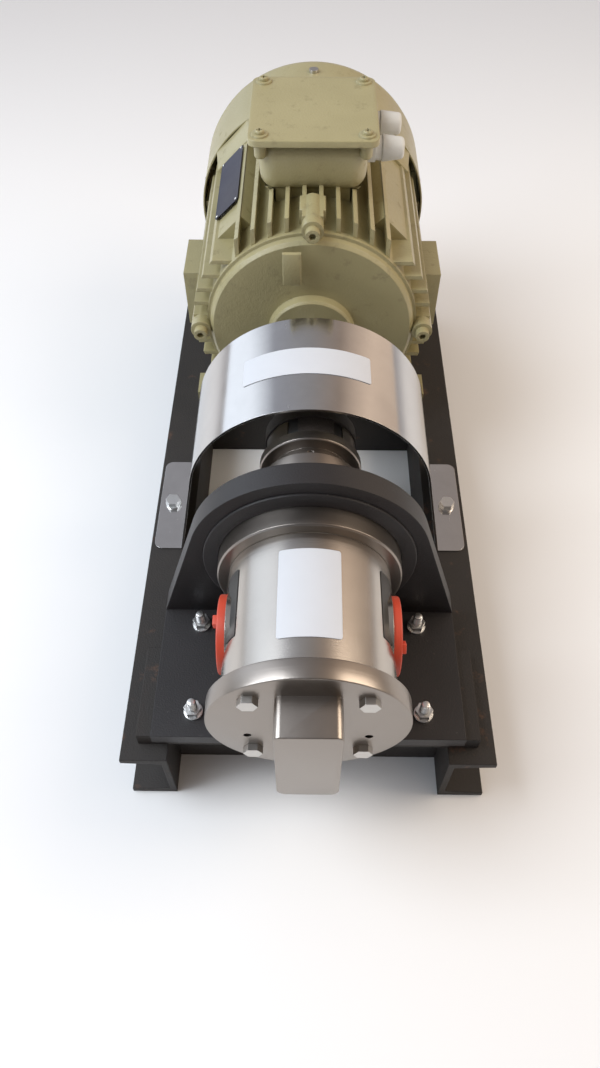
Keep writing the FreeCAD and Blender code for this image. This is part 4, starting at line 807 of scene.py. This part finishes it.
class GEARPUMP_OT_caps(bpy.types.Operator):
    """Makes the two red port caps, each with a thin head, a plug and a square pull tab"""
    bl_idname = "gearpump.caps"
    bl_label = "Port caps"

    def execute(self, context):
        details = context.scene.gearpump_details
        radius, thick, gap = 0.031, details.cap_head, 0.0001
        for side, name, tab_angle in ((-1, "suction_cap", 8), (1, "discharge_cap", 48)):
            cap = join(self.head(radius, thick), self.tab(radius, thick, side, tab_angle))
            cap.rotation_euler = (0, side * math.pi / 2, 0)
            cap.location = (side * (details.port_face + gap + thick / 2), PORT_STATION, PUMP_AXIS)
            settle(cap, f"{name}_red", "red_plastic", f"{name}_body")
            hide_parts(name)
        return {"FINISHED"}

    def head(self, radius, thick):
        """The round head, which faces up, with the plug under it."""
        plug_radius, plug_length = 0.0196, 0.006
        head = add("cylinder", vertices=72, radius=radius, depth=thick)
        round_off(head, lies_at(Z, thick / 2), 0.0012, 4)
        edit_faces(head, lambda at: at.z < 0)
        bpy.ops.mesh.inset(thickness=radius - plug_radius)
        bpy.ops.mesh.extrude_region_move(TRANSFORM_OT_translate={"value": (0, 0, -plug_length)})
        leave_edit()
        return head

    def tab(self, radius, thick, side, angle):
        """The pull tab, near the head's rim and sunk a little into it."""
        width, stand, sunk, margin = 0.008, 0.003, 0.001, 0.0015
        turn, reach = math.radians(angle), radius - margin - width / 2
        tab = cuboid((width, width, stand + sunk))
        round_off(tab, lambda a, b: a.z > 0 or b.z > 0, 0.0007, 3)
        tab.rotation_euler = (0, 0, side * turn)
        tab.location = (-side * reach * math.cos(turn), -reach * math.sin(turn),
                        thick / 2 + (stand - sunk) / 2)
        apply_place(tab)
        return tab


class GEARPUMP_OT_ramps(bpy.types.Operator):
    """Raises the rear ends of the frame's shoulder pads to the cowl"""
    bl_idname = "gearpump.ramps"
    bl_label = "Shoulder ramps"

    def execute(self, context):
        width, low, pad_top = 0.051, 0.102, 0.1178
        top = context.scene.gearpump_details.ramp_top
        start, end = 0.243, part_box("fan_cowl")[0].y + 0.0005
        for side, name in ((-1, "left"), (1, "right")):
            ramp = block((-width / 2, start, low), (width / 2, end, top))
            edit(ramp, wanted_vertices=lambda at: at.z > low + NEAR and at.y < start + NEAR)
            bpy.ops.transform.translate(value=(0, 0, pad_top - top))
            leave_edit()
            round_off(ramp, lambda a, b: min(a.z, b.z) > low + NEAR, 0.001, 3)
            ramp.rotation_euler = (0, side * math.radians(45), 0)
            ramp.location = (0, 0, MOTOR_AXIS)
            settle(ramp, f"shoulder_ramp_{name}", "motor_paint")
        return {"FINISHED"}


class GEARPUMP_OT_plate(bpy.types.Operator):
    """Rivets the bare rating plate to the frame's left shoulder"""
    bl_idname = "gearpump.plate"
    bl_label = "Rating plate"

    def execute(self, context):
        details = context.scene.gearpump_details
        width, length, thick = details.plate
        plate = cuboid((width, length, thick))
        round_off(plate, runs_along(Z), 0.002, 4)
        edit_faces(plate, lambda at: at.z > 0)
        bpy.ops.mesh.inset(thickness=0.0016, depth=-0.0003)
        leave_edit()

        rivet_height, rivet_margin = 0.0010, 0.0028
        rivet = add("cylinder", vertices=20, radius=details.rivet, depth=rivet_height)
        round_off(rivet, lies_at(Z, rivet_height / 2), 0.0005, 3)
        reach, down = width / 2 - rivet_margin, length / 2 - rivet_margin
        rivets = repeat(rivet, [(x, y, thick / 2 + 0.0002) for x in (-reach, reach)
                                for y in (-down, down)])

        tilt, stand, station = math.radians(45), 0.118 + thick / 2, 0.190
        for piece, name, finish, slot in (
                (plate, "rating_plate", "dark_plate", "black_plastic"),
                (rivets, "plate_rivets", "zinc_plate", "zinc_plate")):
            piece.rotation_euler = (0, -tilt, 0)
            piece.location = (-stand * math.sin(tilt), station,
                              MOTOR_AXIS + stand * math.cos(tilt))
            settle(piece, name, finish)
        return {"FINISHED"}


class GEARPUMP_OT_films(bpy.types.Operator):
    """Lays the bare films on the guard and on the pump body"""
    bl_idname = "gearpump.films"
    bl_label = "Bare films"

    def execute(self, context):
        details = context.scene.gearpump_details
        guard_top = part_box("coupling_guard")[1].z
        film("guard_film", tuple(details.guard_film), (-0.006, -0.053, guard_top), 0,
             NODES["coupling_guard"], "white_film")
        low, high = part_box("pump_body")
        radius = (high.z - low.z) / 2
        casing = bpy.data.objects["pump_casing"]
        film("body_film", tuple(details.body_film), (0, -0.269, PUMP_AXIS + radius), 0,
             casing, "white_film")
        for side, name in ((-1, "left"), (1, "right")):
            turn = side * math.radians(63)
            centre = (math.sin(turn) * radius, -0.261, PUMP_AXIS + math.cos(turn) * radius)
            film(f"side_film_{name}", tuple(details.side_film), centre, turn,
                 casing, "dark_film", corner=0.0012)
        return {"FINISHED"}


class GearPumpStage(bpy.types.PropertyGroup):
    """Sizes and levels of the stage."""
    floor_size: bpy.props.FloatProperty(
        name="Floor", description="Side of the floor", default=12, unit="LENGTH")
    floor_colour: bpy.props.FloatVectorProperty(
        name="Floor colour", description="Pale floor",
        default=(0.90, 0.90, 0.90), subtype="COLOR")
    world_level: bpy.props.FloatProperty(
        name="World", description="Level of the soft light all round", default=1.0)
    key_power: bpy.props.FloatProperty(
        name="Key light", description="Cool light from the left", default=27, unit="POWER")
    fill_power: bpy.props.FloatProperty(
        name="Fill light", description="Warm light from the right", default=13, unit="POWER")
    focal_px: bpy.props.FloatProperty(
        name="Focal length", description="In pixels of the picture", default=805.9)
    pitch: bpy.props.FloatProperty(
        name="Pitch", description="Camera below the horizon",
        default=math.radians(53.54), subtype="ANGLE")
    turn: bpy.props.FloatProperty(
        name="Turn", description="Camera's turn about the upright",
        default=math.radians(0.92), subtype="ANGLE")
    roll: bpy.props.FloatProperty(
        name="Roll", description="Camera's roll",
        default=math.radians(-0.19), subtype="ANGLE")
    camera_place: bpy.props.FloatVectorProperty(
        name="Camera", description="Camera's place",
        default=(-0.0018, -0.5761, 0.7320), subtype="TRANSLATION")


PICTURE_HEIGHT = 1068    # in pixels
SENSOR = 36              # side of the camera's sensor in millimetres
FLOOR_HEIGHT = -0.0005
LAMP_AIM = Vector((0, 0, 0.15))
STUDIO = (               # colours round the studio, from the left (0) to the right (1)
    (0.00, (0.40, 0.38, 0.36)),
    (0.09, (1.35, 1.48, 1.66)),
    (0.20, (1.30, 1.40, 1.55)),
    (0.30, (0.42, 0.44, 0.50)),
    (0.50, (0.36, 0.35, 0.36)),
    (0.66, (0.38, 0.30, 0.25)),
    (0.80, (0.95, 0.74, 0.58)),
    (1.00, (0.30, 0.24, 0.20)),
)
FRONT_SHARE = 0.4        # level of the studio's front, as a share of the level behind


class GEARPUMP_OT_stage(bpy.types.Operator):
    """Makes the floor, the lights and the camera"""
    bl_idname = "gearpump.stage"
    bl_label = "Stage"

    def execute(self, context):
        stage = context.scene.gearpump_stage
        floor = add("plane", size=stage.floor_size, location=(0, 0, FLOOR_HEIGHT))
        floor.name = "floor"
        finish = Finish("floor")
        floor.data.materials.append(
            finish.set(Base_Color=tuple(stage.floor_colour), Roughness=0.9))
        self.studio(context, stage.world_level)
        self.lamp(context, "key", place=(-1.2, -0.3, 1.5), size=(0.9, 1.4),
                  power=stage.key_power, colour=(0.88, 0.94, 1.0))
        self.lamp(context, "fill", place=(1.3, -0.1, 1.2), size=(0.8, 1.2),
                  power=stage.fill_power, colour=(1.0, 0.86, 0.70))
        self.camera(context, stage)
        context.scene.view_settings.view_transform = "Standard"
        return {"FINISHED"}

    def studio(self, context, level):
        """A world that is cool on the left, warm on the right and dim in front."""
        world = bpy.data.worlds.new("studio")
        context.scene.world = world
        world.use_nodes = True
        nodes = Nodes(world.node_tree)
        across, along, _ = nodes.parts(nodes.node("ShaderNodeTexCoord", output="Generated"))
        walls = nodes.node("ShaderNodeValToRGB", {"stops": STUDIO}, {"Fac": across * 0.5 + 0.5})
        dim = nodes.node("ShaderNodeMapRange", inputs={
            "Value": along, "From Min": -0.8, "From Max": 0.3,
            "To Min": FRONT_SHARE * level, "To Max": level})
        walls = nodes.node("ShaderNodeVectorMath", {"operation": "SCALE"},
                           {0: walls, "Scale": dim})
        nodes.put(world.node_tree.nodes["Background"].inputs["Color"], walls)

    def lamp(self, context, name, place, size, power, colour):
        """A soft rectangular lamp that faces the middle of the set."""
        bpy.ops.object.light_add(type="AREA", location=place)
        lamp = context.object
        lamp.name = name
        lamp.data.shape = "RECTANGLE"
        lamp.data.size, lamp.data.size_y = size
        lamp.data.energy, lamp.data.color = power, colour
        lamp.rotation_euler = (LAMP_AIM - Vector(place)).to_track_quat("-Z", "Y").to_euler()

    def camera(self, context, stage):
        """The camera, at the photograph's viewing angle."""
        bpy.ops.object.camera_add(location=stage.camera_place)
        camera = context.object
        camera.name = "camera"
        turned = (Matrix.Rotation(stage.turn, 3, "Z")
                  @ Matrix.Rotation(math.pi / 2 - stage.pitch, 3, "X")
                  @ Matrix.Rotation(stage.roll, 3, "Z"))
        camera.rotation_euler = turned.to_euler()
        camera.data.lens = stage.focal_px / PICTURE_HEIGHT * SENSOR
        camera.data.sensor_width = SENSOR
        camera.data.clip_start = 0.01
        context.scene.camera = camera


class GEARPUMP_PT_panel(bpy.types.Panel):
    """Lists the pieces that can be made"""
    bl_idname = "GEARPUMP_PT_panel"
    bl_label = "Gear pump"
    bl_space_type = "VIEW_3D"
    bl_region_type = "UI"
    bl_category = "Gear pump"

    def draw(self, context):
        for operator in OPERATORS:
            self.layout.operator(operator.bl_idname)


OPERATORS = (
    GEARPUMP_OT_terminal_box, GEARPUMP_OT_glands, GEARPUMP_OT_lid_screws, GEARPUMP_OT_studs,
    GEARPUMP_OT_casing, GEARPUMP_OT_cover, GEARPUMP_OT_castings, GEARPUMP_OT_caps,
    GEARPUMP_OT_ramps, GEARPUMP_OT_plate, GEARPUMP_OT_films, GEARPUMP_OT_stage,
)
CLASSES = (GearPumpDetails, GearPumpStage, *OPERATORS, GEARPUMP_PT_panel)


def register():
    for item in CLASSES:
        bpy.utils.register_class(item)
    bpy.types.Scene.gearpump_details = bpy.props.PointerProperty(type=GearPumpDetails)
    bpy.types.Scene.gearpump_stage = bpy.props.PointerProperty(type=GearPumpStage)


def unregister():
    del bpy.types.Scene.gearpump_stage
    del bpy.types.Scene.gearpump_details
    for item in reversed(CLASSES):
        bpy.utils.unregister_class(item)


def main():
    """Makes every piece, the casing before the films that lie on it."""
    register()
    finish_nodes()
    bpy.ops.gearpump.terminal_box()
    bpy.ops.gearpump.glands()
    bpy.ops.gearpump.lid_screws()
    bpy.ops.gearpump.studs()
    bpy.ops.gearpump.casing()
    bpy.ops.gearpump.cover()
    bpy.ops.gearpump.castings()
    bpy.ops.gearpump.caps()
    bpy.ops.gearpump.ramps()
    bpy.ops.gearpump.plate()
    bpy.ops.gearpump.films()
    bpy.ops.gearpump.stage()


if __name__ == "__main__":
    main()
